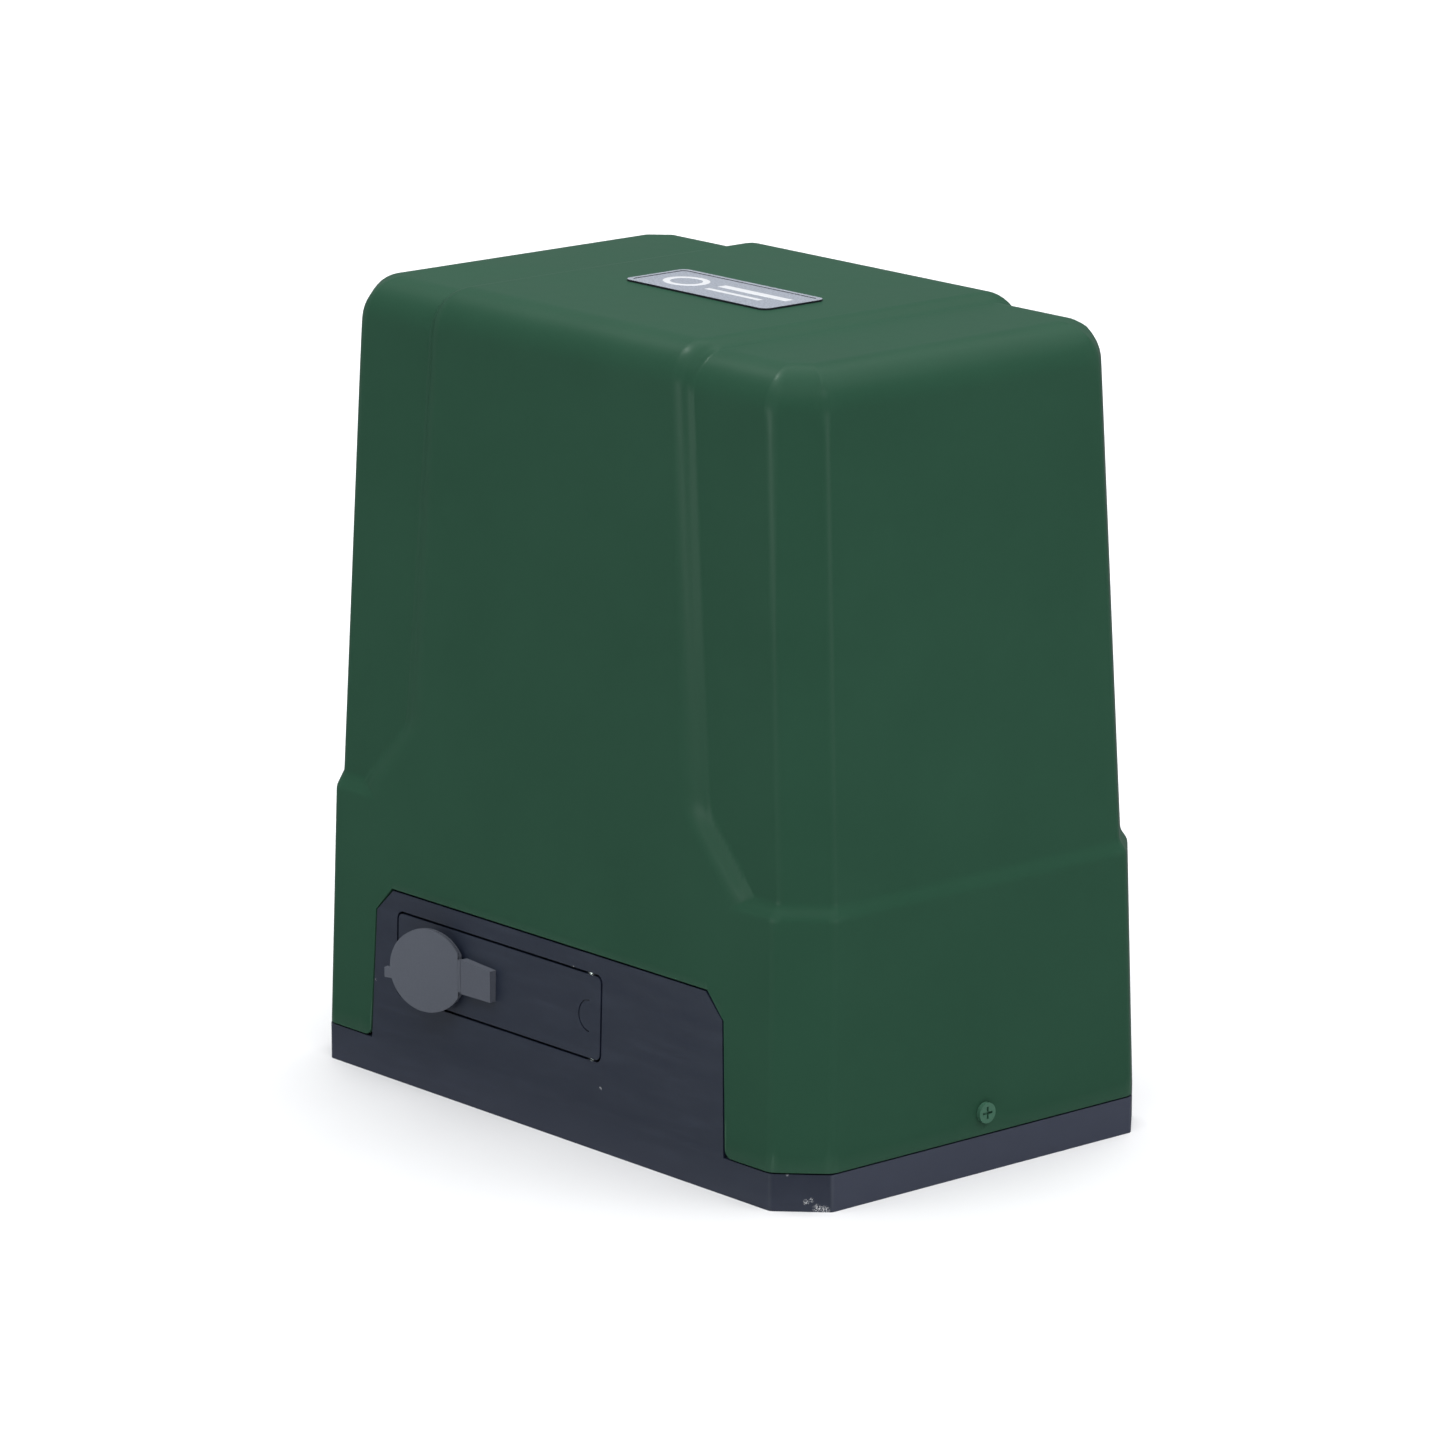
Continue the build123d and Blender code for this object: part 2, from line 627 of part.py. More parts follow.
MIDDLE_BEARING = (98.0, 110.0, 20.0, 8.5)
TOP_BEARING = (216.0, 226.0, 16.0, 6.0)


def make_gearbox_housing():
    """Aluminium casting that holds the worm wheel, worm and output shaft."""
    with BuildPart() as housing:
        slab(FOOT_X, (-FOOT_Y, FOOT_Y), (FLOOR, FOOT_TOP))
        fillet(housing.edges().filter_by(Axis.Z), 8)
        disc(drive_plane(CHAMBER_FRONT), HOUSING_R, 30 - CHAMBER_FRONT)
        disc(drive_plane(25), BEARING_REAR[2] + 5, 19)
        disc(drive_plane(40), NOSE_R, NOSE_END - 40)
        slab((MOTOR_X - TOWER_HALF_X, MOTOR_X + TOWER_HALF_X), (-TOWER_HALF_Y, TOWER_HALF_Y),
             (FLOOR, TOWER_TOP))
        disc(motor_plane(TOWER_TOP), FLANGE_R, FLANGE_TOP - TOWER_TOP)
        for y in (-20, 20):
            slab((MOTOR_X - 45, MOTOR_X), (y - 3, y + 3), (FOOT_TOP - 2, TOWER_TOP))
        # cavities, from the lid's side and from the motor's side
        disc(drive_plane(CHAMBER_FRONT), CHAMBER_R, CHAMBER_REAR - CHAMBER_FRONT, mode=Mode.SUBTRACT)
        disc(drive_plane(CHAMBER_REAR - 1), BEARING_REAR[2], BEARING_REAR[1] - CHAMBER_REAR + 1,
             mode=Mode.SUBTRACT)
        disc(drive_plane(38), 14.0, 50, mode=Mode.SUBTRACT)
        disc(drive_plane(SEAL[0]), SEAL[2], 10, mode=Mode.SUBTRACT)
        disc(motor_plane(WORM_BEARING[1]), WORM_BORE_R, 90, mode=Mode.SUBTRACT)
        disc(motor_plane(WORM_BEARING[0]), WORM_BEARING[2], 12, mode=Mode.SUBTRACT)
        disc(motor_plane(MIDDLE_BEARING[0]), MIDDLE_BEARING[2], 20, mode=Mode.SUBTRACT)
        # tapped holes
        with BuildSketch(drive_plane(CHAMBER_FRONT)):
            with PolarLocations(LID_SCREW_R, 6, start_angle=LID_SCREW_TURN):
                Circle(LID_HOLE_R)
        extrude(amount=12, mode=Mode.SUBTRACT)
        with BuildSketch(motor_plane(TOWER_TOP - 1)):
            with Locations(*motor_screw_places()):
                Circle(MOTOR_SCREW_R)
        extrude(amount=12, mode=Mode.SUBTRACT)
        with BuildSketch(Plane.XY.offset(FLOOR)):
            with Locations(*FOOT_BOLTS):
                Circle(FOOT_BOLT_R)
        extrude(amount=FOOT_TOP - FLOOR + 1, mode=Mode.SUBTRACT)
    return housing


def make_gearbox_lid():
    """Front lid of the gearbox, with the seat of the front bearing."""
    near, far, outer, _ = BEARING_FRONT
    with BuildPart() as lid:
        disc(drive_plane(LID_FRONT + LID_RIM), HOUSING_R, CHAMBER_FRONT - LID_FRONT - LID_RIM)
        disc(drive_plane(LID_FRONT), outer + 4, 10)
        disc(drive_plane(near), outer, far - near, mode=Mode.SUBTRACT)
        disc(drive_plane(LID_FRONT - 1), ROD_R + 1, 5, mode=Mode.SUBTRACT)
        with BuildSketch(drive_plane(CHAMBER_FRONT)):
            with PolarLocations(LID_SCREW_R, 6, start_angle=LID_SCREW_TURN):
                Circle(LID_HOLE_R)
        extrude(amount=-20, mode=Mode.SUBTRACT)
    return lid


def make_lid_screws():
    """Six screws round the gearbox lid."""
    facing = Plane(origin=(DRIVE_X, LID_FRONT + LID_RIM, DRIVE_Z), x_dir=(1, 0, 0), z_dir=(0, -1, 0))
    turn = [radians(LID_SCREW_TURN + 60 * k) for k in range(6)]
    places = [(LID_SCREW_R * cos(a), LID_SCREW_R * sin(a)) for a in turn]
    return screw_group(facing, places, LID_HOLE_R, 19.0, 3.5, 3.5, "socket")


def make_foot_bolts():
    """Four hexagon bolts that hold the gearbox down on the base."""
    return screw_group(Plane.XY.offset(FOOT_TOP), FOOT_BOLTS, FOOT_BOLT_R, FOOT_TOP - 1.5,
                       6.5, 5.0, "hex")


def make_output_shaft():
    """Hollow output shaft with bearing seats, a thrust collar, a key seat and a clutch slot."""
    with BuildPart() as shaft:
        disc(drive_plane(BEARING_FRONT[0]), SHAFT_NECK_R, 20)
        disc(drive_plane(BEARING_FRONT[1] + 0.5), SHAFT_R, SHAFT_NECK_Y - BEARING_FRONT[1] - 0.5)
        disc(drive_plane(HUB_FRONT - 6.5), COLLAR_R, 6.0)
        disc(drive_plane(SHAFT_NECK_Y), SHAFT_NECK_R, PINION_FAR - SHAFT_NECK_Y)
        disc(drive_plane(BEARING_FRONT[0] - 1), ROD_R + RUN_FIT, 37 - BEARING_FRONT[0],
             mode=Mode.SUBTRACT)
        slab((DRIVE_X - 20, DRIVE_X + 20), (PIN_Y - PIN_R - 0.3, PIN_Y + PIN_R + STROKE + 0.5),
             (DRIVE_Z - PIN_R - RUN_FIT, DRIVE_Z + PIN_R + RUN_FIT), Mode.SUBTRACT)
        disc(drive_plane(PINION_FAR - 22), 4.0, 30, mode=Mode.SUBTRACT)
        slab((DRIVE_X - KEY_HALF, DRIVE_X + KEY_HALF), (PINION_NEAR + 2, PINION_FAR - 2),
             (DRIVE_Z + SHAFT_NECK_R - KEY_DEPTH, DRIVE_Z + SHAFT_NECK_R + 3), Mode.SUBTRACT)
        disc(drive_plane(CIRCLIP_Y), SHAFT_R + 5, CIRCLIP_THICK, mode=Mode.SUBTRACT)
        disc(drive_plane(CIRCLIP_Y), SHAFT_R - GROOVE_DEPTH, CIRCLIP_THICK)
        disc(drive_plane(CIRCLIP_Y - 0.1), ROD_R + RUN_FIT, CIRCLIP_THICK + 0.2, mode=Mode.SUBTRACT)
    return shaft


def make_shaft_circlip():
    """Open retaining ring behind the clutch, in the shaft's groove."""
    with BuildPart() as clip:
        with BuildSketch(drive_plane(CIRCLIP_Y)):
            Circle(COLLAR_R)
            Circle(SHAFT_R - GROOVE_DEPTH, mode=Mode.SUBTRACT)
            with Locations((0, -14)):
                Rectangle(5, 8, mode=Mode.SUBTRACT)
        extrude(amount=CIRCLIP_THICK)
    return clip


def wheel_tooth(turn):
    """One slanted tooth of the worm wheel, turned about the shaft."""
    slant = degrees(WHEEL_WIDTH / 2 * tan(atan(LEAD / (2 * pi * WORM_PITCH_R))) / WHEEL_PITCH_R)
    flank = tan(radians(22))
    play = TOOTH_PLAY / 2
    root = WHEEL_PITCH_R - 1.4 * WORM_MODULE
    tip = WHEEL_PITCH_R + 0.95 * WORM_MODULE
    half_root = LEAD / 4 + 1.1 * WORM_MODULE * flank - play
    half_pitch = LEAD / 4 - play
    half_tip = LEAD / 4 - WORM_MODULE * flank - play
    stations = []
    for side in (-1, 1):
        angle = radians(turn - side * slant)
        station = Plane(origin=(DRIVE_X, side * WHEEL_WIDTH / 2, DRIVE_Z),
                        x_dir=(cos(angle), 0, sin(angle)), z_dir=(0, -1, 0))
        with BuildSketch(station) as section:
            with BuildLine():
                Polyline((root, -half_root), (WHEEL_PITCH_R, -half_pitch), (tip, -half_tip),
                         (tip, half_tip), (WHEEL_PITCH_R, half_pitch), (root, half_root), close=True)
            make_face()
        stations.append(section.sketch)
    with BuildPart() as tooth:
        loft(stations, ruled=True)
    return tooth.part


def make_worm_wheel():
    """Bronze worm wheel with four clutch notches in the back of its hub."""
    with BuildPart() as wheel:
        disc(drive_plane(-WHEEL_WIDTH / 2), WHEEL_PITCH_R - 1.25 * WORM_MODULE, WHEEL_WIDTH)
        disc(drive_plane(HUB_FRONT), HUB_R, 20)
        for number in range(WHEEL_TEETH):
            add(wheel_tooth(number * 360 / WHEEL_TEETH))
        disc(drive_plane(HUB_FRONT - 1), SHAFT_R + RUN_FIT, 50, mode=Mode.SUBTRACT)
        rear = WHEEL_WIDTH / 2
        reach = PIN_HALF + 0.6
        half = PIN_R + 0.1
        slab((DRIVE_X - reach, DRIVE_X + reach), (rear - NOTCH_DEPTH, rear + 1),
             (DRIVE_Z - half, DRIVE_Z + half), Mode.SUBTRACT)
        slab((DRIVE_X - half, DRIVE_X + half), (rear - NOTCH_DEPTH, rear + 1),
             (DRIVE_Z - reach, DRIVE_Z + reach), Mode.SUBTRACT)
    return wheel


def make_clutch_pin():
    """Cross pin that locks the wheel to the shaft until the rod pushes it back."""
    with BuildPart() as pin:
        start = Plane(origin=(DRIVE_X - PIN_HALF, PIN_Y, DRIVE_Z), x_dir=(0, 1, 0), z_dir=(1, 0, 0))
        disc(start, PIN_R, 2 * PIN_HALF)
    return pin


def make_clutch_spring():
    """Compression spring that returns the clutch pin, inside the shaft."""
    start = PIN_Y + PIN_R + 0.4
    coil = Helix(pitch=3.2, height=19.5, radius=3.0, center=(DRIVE_X, start + 0.8, DRIVE_Z),
                 direction=(0, 1, 0))
    with BuildPart() as spring:
        with BuildSketch(Plane(origin=coil @ 0, z_dir=coil % 0)):
            Circle(0.6)
        sweep(path=coil, is_frenet=True)
    return spring


def make_shaft_bearing(station):
    """Sealed ball bearing on the output shaft."""
    near, far, outer, bore = station
    return ring_part(drive_plane(near), outer, bore + RUN_FIT, far - near)


def make_drive_pinion():
    """Steel pinion that drives the gate's rack."""
    pitch_r = PINION_MODULE * PINION_TEETH / 2
    root = pitch_r - 1.25 * PINION_MODULE
    tip = pitch_r + PINION_MODULE
    quarter = pi * PINION_MODULE / 4
    with BuildSketch() as tooth:
        with BuildLine():
            Polyline((root - 1, -quarter * 1.45), (root + 1, -quarter * 1.35),
                     (pitch_r, -quarter), (tip, -quarter * 0.45), (tip, quarter * 0.45),
                     (pitch_r, quarter), (root + 1, quarter * 1.35),
                     (root - 1, quarter * 1.45), close=True)
        make_face()
    with BuildPart() as pinion:
        with BuildSketch(drive_plane(PINION_NEAR)):
            Circle(root)
            with PolarLocations(0, PINION_TEETH):
                add(tooth.sketch)
            Circle(SHAFT_NECK_R, mode=Mode.SUBTRACT)
            with Locations((0, -SHAFT_NECK_R)):
                Rectangle(2 * KEY_HALF, 5.6, mode=Mode.SUBTRACT)
        extrude(amount=PINION_FAR - PINION_NEAR)
        with BuildSketch(drive_plane(SHAFT_NECK_Y + 0.5)):
            Circle(COLLAR_R)
            Circle(SHAFT_NECK_R, mode=Mode.SUBTRACT)
        extrude(amount=PINION_NEAR - SHAFT_NECK_Y - 0.5)
    return pinion


def make_pinion_key():
    """Square key between shaft and pinion."""
    with BuildPart() as key:
        slab((DRIVE_X - KEY_HALF, DRIVE_X + KEY_HALF), (PINION_NEAR + 2, PINION_FAR - 2),
             (DRIVE_Z + SHAFT_NECK_R - KEY_DEPTH, DRIVE_Z + SHAFT_NECK_R + 2.5))
    return key


def make_pinion_bolt():
    """Bolt in the end of the output shaft."""
    return screw_group(drive_plane(PINION_FAR + 3), [(0, 0)], 4.0, 22.0, 7.5, 5.3, "hex")


# -------------------------------------------------------------------- motor
def motor_screw_places():
    """Four places round the motor, in the motor planes' own coordinates."""
    turns = [radians(45 + 90 * k) for k in range(4)]
    return [(MOTOR_SCREW_CIRCLE * cos(a), MOTOR_SCREW_CIRCLE * sin(a)) for a in turns]


MOTOR_LOW = FLANGE_TOP
MOTOR_HIGH = 214.0
MOTOR_R = 56.0
MOTOR_BORE = 51.0
FIN_R = 60.0
FIN_COUNT = 28
STATOR = (128.0, 200.0)
END_CAP_TOP = 230.0
MOTOR_SCREW_R = 2.5
MOTOR_SCREW_CIRCLE = 57.0
MOTOR_LUG_R = 5.0
END_CAP_RIM = 6.0
END_CAP_STEP = 5.0
SLOT_COUNT = 24
ROTOR_R = 31.4
ROTOR_BORE = 8.5


def make_motor_housing():
    """Finned aluminium tube round the stator."""
    with BuildPart() as housing:
        with BuildSketch(motor_plane(MOTOR_LOW)):
            Circle(MOTOR_R)
            with PolarLocations(MOTOR_R, FIN_COUNT):
                Rectangle(2 * (FIN_R - MOTOR_R), 2.2)
            with Locations(*motor_screw_places()):
                Circle(MOTOR_LUG_R)
            Circle(MOTOR_BORE, mode=Mode.SUBTRACT)
            with Locations(*motor_screw_places()):
                Circle(MOTOR_SCREW_R, mode=Mode.SUBTRACT)
        extrude(amount=MOTOR_HIGH - MOTOR_LOW)
    return housing


def make_motor_end_cap():
    """Top shield of the motor, with the upper bearing's seat."""
    low, _, outer, _ = TOP_BEARING
    with BuildPart() as cap:
        with BuildSketch(motor_plane(MOTOR_HIGH)):
            Circle(MOTOR_R)
            with Locations(*motor_screw_places()):
                Circle(MOTOR_LUG_R)
        extrude(amount=END_CAP_RIM)
        shoulder = MOTOR_HIGH + END_CAP_RIM + END_CAP_STEP
        disc(motor_plane(MOTOR_HIGH + END_CAP_RIM), 48.0, END_CAP_STEP)
        disc(motor_plane(shoulder), outer + 4, END_CAP_TOP - shoulder)
        disc(motor_plane(low), outer, 10, mode=Mode.SUBTRACT)
        disc(motor_plane(MOTOR_HIGH - 1), outer - 3, 5, mode=Mode.SUBTRACT)
        with BuildSketch(motor_plane(MOTOR_HIGH - 1)):
            with Locations(*motor_screw_places()):
                Circle(MOTOR_SCREW_R)
        extrude(amount=10, mode=Mode.SUBTRACT)
    return cap


def make_motor_screws():
    """Four long screws through the end cap and housing into the gearbox flange."""
    top = MOTOR_HIGH + END_CAP_RIM
    return screw_group(motor_plane(top), motor_screw_places(), MOTOR_SCREW_R, top - TOWER_TOP,
                       4.5, 4.0, "socket")


def make_stator_core():
    """Laminated stator ring with its winding slots."""
    with BuildPart() as core:
        with BuildSketch(motor_plane(STATOR[0])):
            Circle(MOTOR_BORE)
            Circle(ROTOR_R + 0.6, mode=Mode.SUBTRACT)
            with PolarLocations(38.0, SLOT_COUNT):
                Rectangle(10, 4.5, mode=Mode.SUBTRACT)
        extrude(amount=STATOR[1] - STATOR[0])
    return core


def make_stator_windings():
    """Upper and lower winding heads joined by the coils in the slots."""
    with BuildPart() as windings:
        for low, high in ((STATOR[0] - 12, STATOR[0] - 0.2), (STATOR[1] + 0.2, STATOR[1] + 11)):
            with BuildSketch(motor_plane(low)) as ring:
                Circle(46)
                Circle(33.5, mode=Mode.SUBTRACT)
            extrude(ring.sketch, amount=high - low)
        fillet(windings.edges().filter_by(GeomType.CIRCLE), 3.5)
        with BuildSketch(motor_plane(STATOR[0] - 4)) as slots:
            with PolarLocations(38.5, SLOT_COUNT):
                Rectangle(8, 3.7)
        extrude(slots.sketch, amount=STATOR[1] - STATOR[0] + 8)
    return windings


def make_rotor():
    """Rotor stack on the worm shaft."""
    return ring_part(motor_plane(STATOR[0]), ROTOR_R, ROTOR_BORE, STATOR[1] - STATOR[0])


def make_worm_shaft():
    """Motor shaft with the single-start worm cut on its lower half."""
    root = WORM_PITCH_R - 1.25 * WORM_MODULE
    tip = WORM_PITCH_R + 0.98 * WORM_MODULE
    flank = tan(radians(20))
    play = TOOTH_PLAY / 2
    half_root = LEAD / 4 + 1.25 * WORM_MODULE * flank - play + 0.1
    half_tip = LEAD / 4 - WORM_MODULE * flank - play
    thread_low = DRIVE_Z - WORM_LENGTH / 2
    thread = motor_plane(thread_low).location * Rot(0, 0, WORM_PHASE) * Helix(
        pitch=LEAD, height=WORM_LENGTH, radius=root)
    start = thread @ 0
    outwards = Vector(start.X - MOTOR_X, start.Y, 0)
    with BuildPart() as shaft:
        disc(motor_plane(WORM_BEARING[0] + 0.5), WORM_BEARING[3], 12)
        disc(motor_plane(WORM_BEARING[1] + 0.5), root - 2, 8)
        disc(motor_plane(WORM_BEARING[1] + 3), root, DRIVE_Z + WORM_LENGTH / 2 - WORM_BEARING[1] + 5)
        disc(motor_plane(DRIVE_Z + WORM_LENGTH / 2), root - 1.5, 25)
        disc(motor_plane(DRIVE_Z + WORM_LENGTH / 2), MIDDLE_BEARING[3],
             TOP_BEARING[0] - DRIVE_Z - WORM_LENGTH / 2)
        disc(motor_plane(200), TOP_BEARING[3], TOP_BEARING[1] - 200.5)
        with BuildSketch(Plane(origin=start, x_dir=outwards, z_dir=thread % 0)):
            with BuildLine():
                Polyline((-0.6, -half_root - 0.2), (tip - root, -half_tip),
                         (tip - root, half_tip), (-0.6, half_root + 0.2), close=True)
            make_face()
        sweep(path=thread, is_frenet=True)
    return shaft


def make_motor_bearing(station):
    """Sealed ball bearing on the worm shaft."""
    low, high, outer, bore = station
    return ring_part(motor_plane(low), outer, bore + RUN_FIT, high - low)


# -------------------------------------------------------------- electronics
BRACKET_X = 88.0
BRACKET_THICK = 2.0
BRACKET_HALF = 60.0
BRACKET_TOP = 236.0
BRACKET_LOW = 70.0
BRACKET_FOOT = 18.0
STANDOFF_R = 3.0
BOARD_SCREW_R = 1.5
TERMINAL_PITCH = 5.08
TERMINAL_Z = (122.0, 133.0)
TERMINAL_DEPTH = 11.0
RELAY_HALF = 7.5
STANDOFF = 4.0
BOARD_THICK = 1.6
BOARD_X = BRACKET_X + BRACKET_THICK + STANDOFF
BOARD_FACE = BOARD_X + BOARD_THICK
BOARD_Y = (-54.0, 54.0)
BOARD_Z = (112.0, 228.0)
BOARD_SCREWS = [(-49.0, 117.0), (49.0, 117.0), (-49.0, 223.0), (49.0, 223.0)]
CAPACITOR_PLACE = (67.0, -52.0)
CAPACITOR_R = 17.0
CAPACITOR_Z = (122.0, 198.0)
CLIP_Z = (150.0, 164.0)


def right_plane(x):
    """Plane facing +X at the given x: sketch x is +Y and sketch y is +Z."""
    return Plane(origin=(x, 0, 0), x_dir=(0, 1, 0), z_dir=(1, 0, 0))


def make_bracket():
    """Folded steel bracket that carries the control board, on two feet."""
    with BuildPart() as bracket:
        slab((BRACKET_X, BRACKET_X + BRACKET_THICK), (-BRACKET_HALF, BRACKET_HALF),
             (BRACKET_LOW, BRACKET_TOP))
        for side in (-1, 1):
            y_range = sorted((side * 36.0, side * BRACKET_HALF))
            slab((BRACKET_X, BRACKET_X + BRACKET_THICK), y_range, (FLOOR, BRACKET_LOW + 2))
            slab((BRACKET_X, BRACKET_X + BRACKET_FOOT), y_range, (FLOOR, FLOOR + BRACKET_THICK))
        with BuildSketch(right_plane(BRACKET_X + 1)):
            with Locations(*BOARD_SCREWS):
                Circle(STANDOFF_R)
        extrude(amount=STANDOFF + 1)
        with BuildSketch(right_plane(BRACKET_X - 1)):
            with Locations(*BOARD_SCREWS):
                Circle(BOARD_SCREW_R)
        extrude(amount=10, mode=Mode.SUBTRACT)
        with BuildSketch(Plane.XY.offset(FLOOR)):
            with Locations(*BRACKET_SCREWS):
                Circle(BRACKET_SCREW_R)
        extrude(amount=5, mode=Mode.SUBTRACT)
    return bracket


def make_control_board():
    """Printed circuit board on the bracket's standoffs."""
    with BuildPart() as board:
        slab((BOARD_X, BOARD_FACE), BOARD_Y, BOARD_Z)
        with BuildSketch(right_plane(BOARD_X)):
            with Locations(*BOARD_SCREWS):
                Circle(BOARD_SCREW_R)
        extrude(amount=BOARD_THICK, mode=Mode.SUBTRACT)
    return board


def make_terminal_blocks():
    """Three plug-in terminal strips along the board's lower edge."""
    with BuildPart() as blocks:
        for middle, ways in ((-34.0, 4), (-4.0, 5), (29.0, 6)):
            half = ways * TERMINAL_PITCH / 2
            slab((BOARD_FACE, BOARD_FACE + TERMINAL_DEPTH), (middle - half, middle + half), TERMINAL_Z)
            with BuildSketch(right_plane(BOARD_FACE + TERMINAL_DEPTH)):
                with Locations((middle, TERMINAL_Z[0] + 6.5)):
                    with GridLocations(TERMINAL_PITCH, 1, ways, 1):
                        Circle(1.6)
            extrude(amount=-5, mode=Mode.SUBTRACT)
            with BuildSketch(Plane.XY.offset(TERMINAL_Z[0])):
                with Locations((BOARD_FACE + 6, middle)):
                    with GridLocations(1, TERMINAL_PITCH, 1, ways):
                        Rectangle(4, 3.2)
            extrude(amount=4, mode=Mode.SUBTRACT)
    return blocks


def make_relays():
    """Three power relays that switch the motor."""
    with BuildPart() as relays:
        for middle in (-40.0, -21.0, -2.0):
            slab((BOARD_FACE, BOARD_FACE + 16), (middle - RELAY_HALF, middle + RELAY_HALF),
                 (142, 161))
        fillet(relays.edges().filter_by(Axis.X), 0.8)
    return relays


def make_transformer_core():
    """Laminated iron core of the mains transformer."""
    with BuildPart() as core:
        slab((BOARD_FACE + 2, BOARD_FACE + 20), (-44, -2), (178, 214))
        for y in (-37, -16):
            slab((BOARD_FACE, BOARD_FACE + 30), (y, y + 7), (185, 207), Mode.SUBTRACT)
    return core


def make_transformer_coil():
    """Coil former of the transformer, round the core's middle leg."""
    with BuildPart() as coil:
        slab((BOARD_FACE, BOARD_FACE + 26), (-36.9, -9.1), (185.1, 206.9))
        slab((BOARD_FACE + 2, BOARD_FACE + 20), (-30, -16), (180, 210), Mode.SUBTRACT)
    return coil


def make_fuse_holder():
    """Fuse in its open clip holder."""
    with BuildPart() as fuse:
        slab((BOARD_FACE, BOARD_FACE + 5), (14, 42), (146, 154))
        axis = Plane(origin=(BOARD_FACE + 7, 16, 150), x_dir=(1, 0, 0), z_dir=(0, 1, 0))
        disc(axis, 3.0, 24)
    return fuse


def make_receiver():
    """Plug-in radio receiver card, standing on the board."""
    with BuildPart() as card:
        slab((BOARD_FACE, BOARD_FACE + 22), (20, 21.6), (176, 216))
        slab((BOARD_FACE + 4, BOARD_FACE + 17), (21.6, 30), (184, 200))
    return card


def make_capacitor():
    """Motor run capacitor with two push-on tabs."""
    with BuildPart() as capacitor:
        base_plane = Plane(origin=(*CAPACITOR_PLACE, CAPACITOR_Z[0]), z_dir=(0, 0, 1))
        disc(base_plane, CAPACITOR_R, CAPACITOR_Z[1] - CAPACITOR_Z[0])
        fillet(capacitor.edges(), 2)
        x, y = CAPACITOR_PLACE
        for side in (-6, 6):
            slab((x + side - 3, x + side + 3), (y - 0.4, y + 0.4), (CAPACITOR_Z[1] - 1, CAPACITOR_Z[1] + 9))
    return capacitor


def make_capacitor_clip():
    """Band clip that holds the capacitor against the bracket."""
    x, y = CAPACITOR_PLACE
    with BuildPart() as clip:
        ring = Plane(origin=(x, y, CLIP_Z[0]), z_dir=(0, 0, 1))
        disc(ring, CAPACITOR_R + 1.5, CLIP_Z[1] - CLIP_Z[0])
        slab((x + CAPACITOR_R, BRACKET_X), (y - 8, y + 8), CLIP_Z)
        disc(ring, CAPACITOR_R, CLIP_Z[1] - CLIP_Z[0], mode=Mode.SUBTRACT)
    return clip


def make_limit_sensor():
    """Sealed magnetic limit sensor behind the rear panel."""
    with BuildPart() as sensor:
        slab((-76, -46), (76, 87.6), (44, 66))
        fillet(sensor.edges().filter_by(Axis.Y), 3)
    return sensor


def make_screws_down(places, height, head_r, head_height, reach):
    """Cross-head screws driven straight down."""
    return screw_group(Plane.XY.offset(height), places, BRACKET_SCREW_R, reach, head_r, head_height)


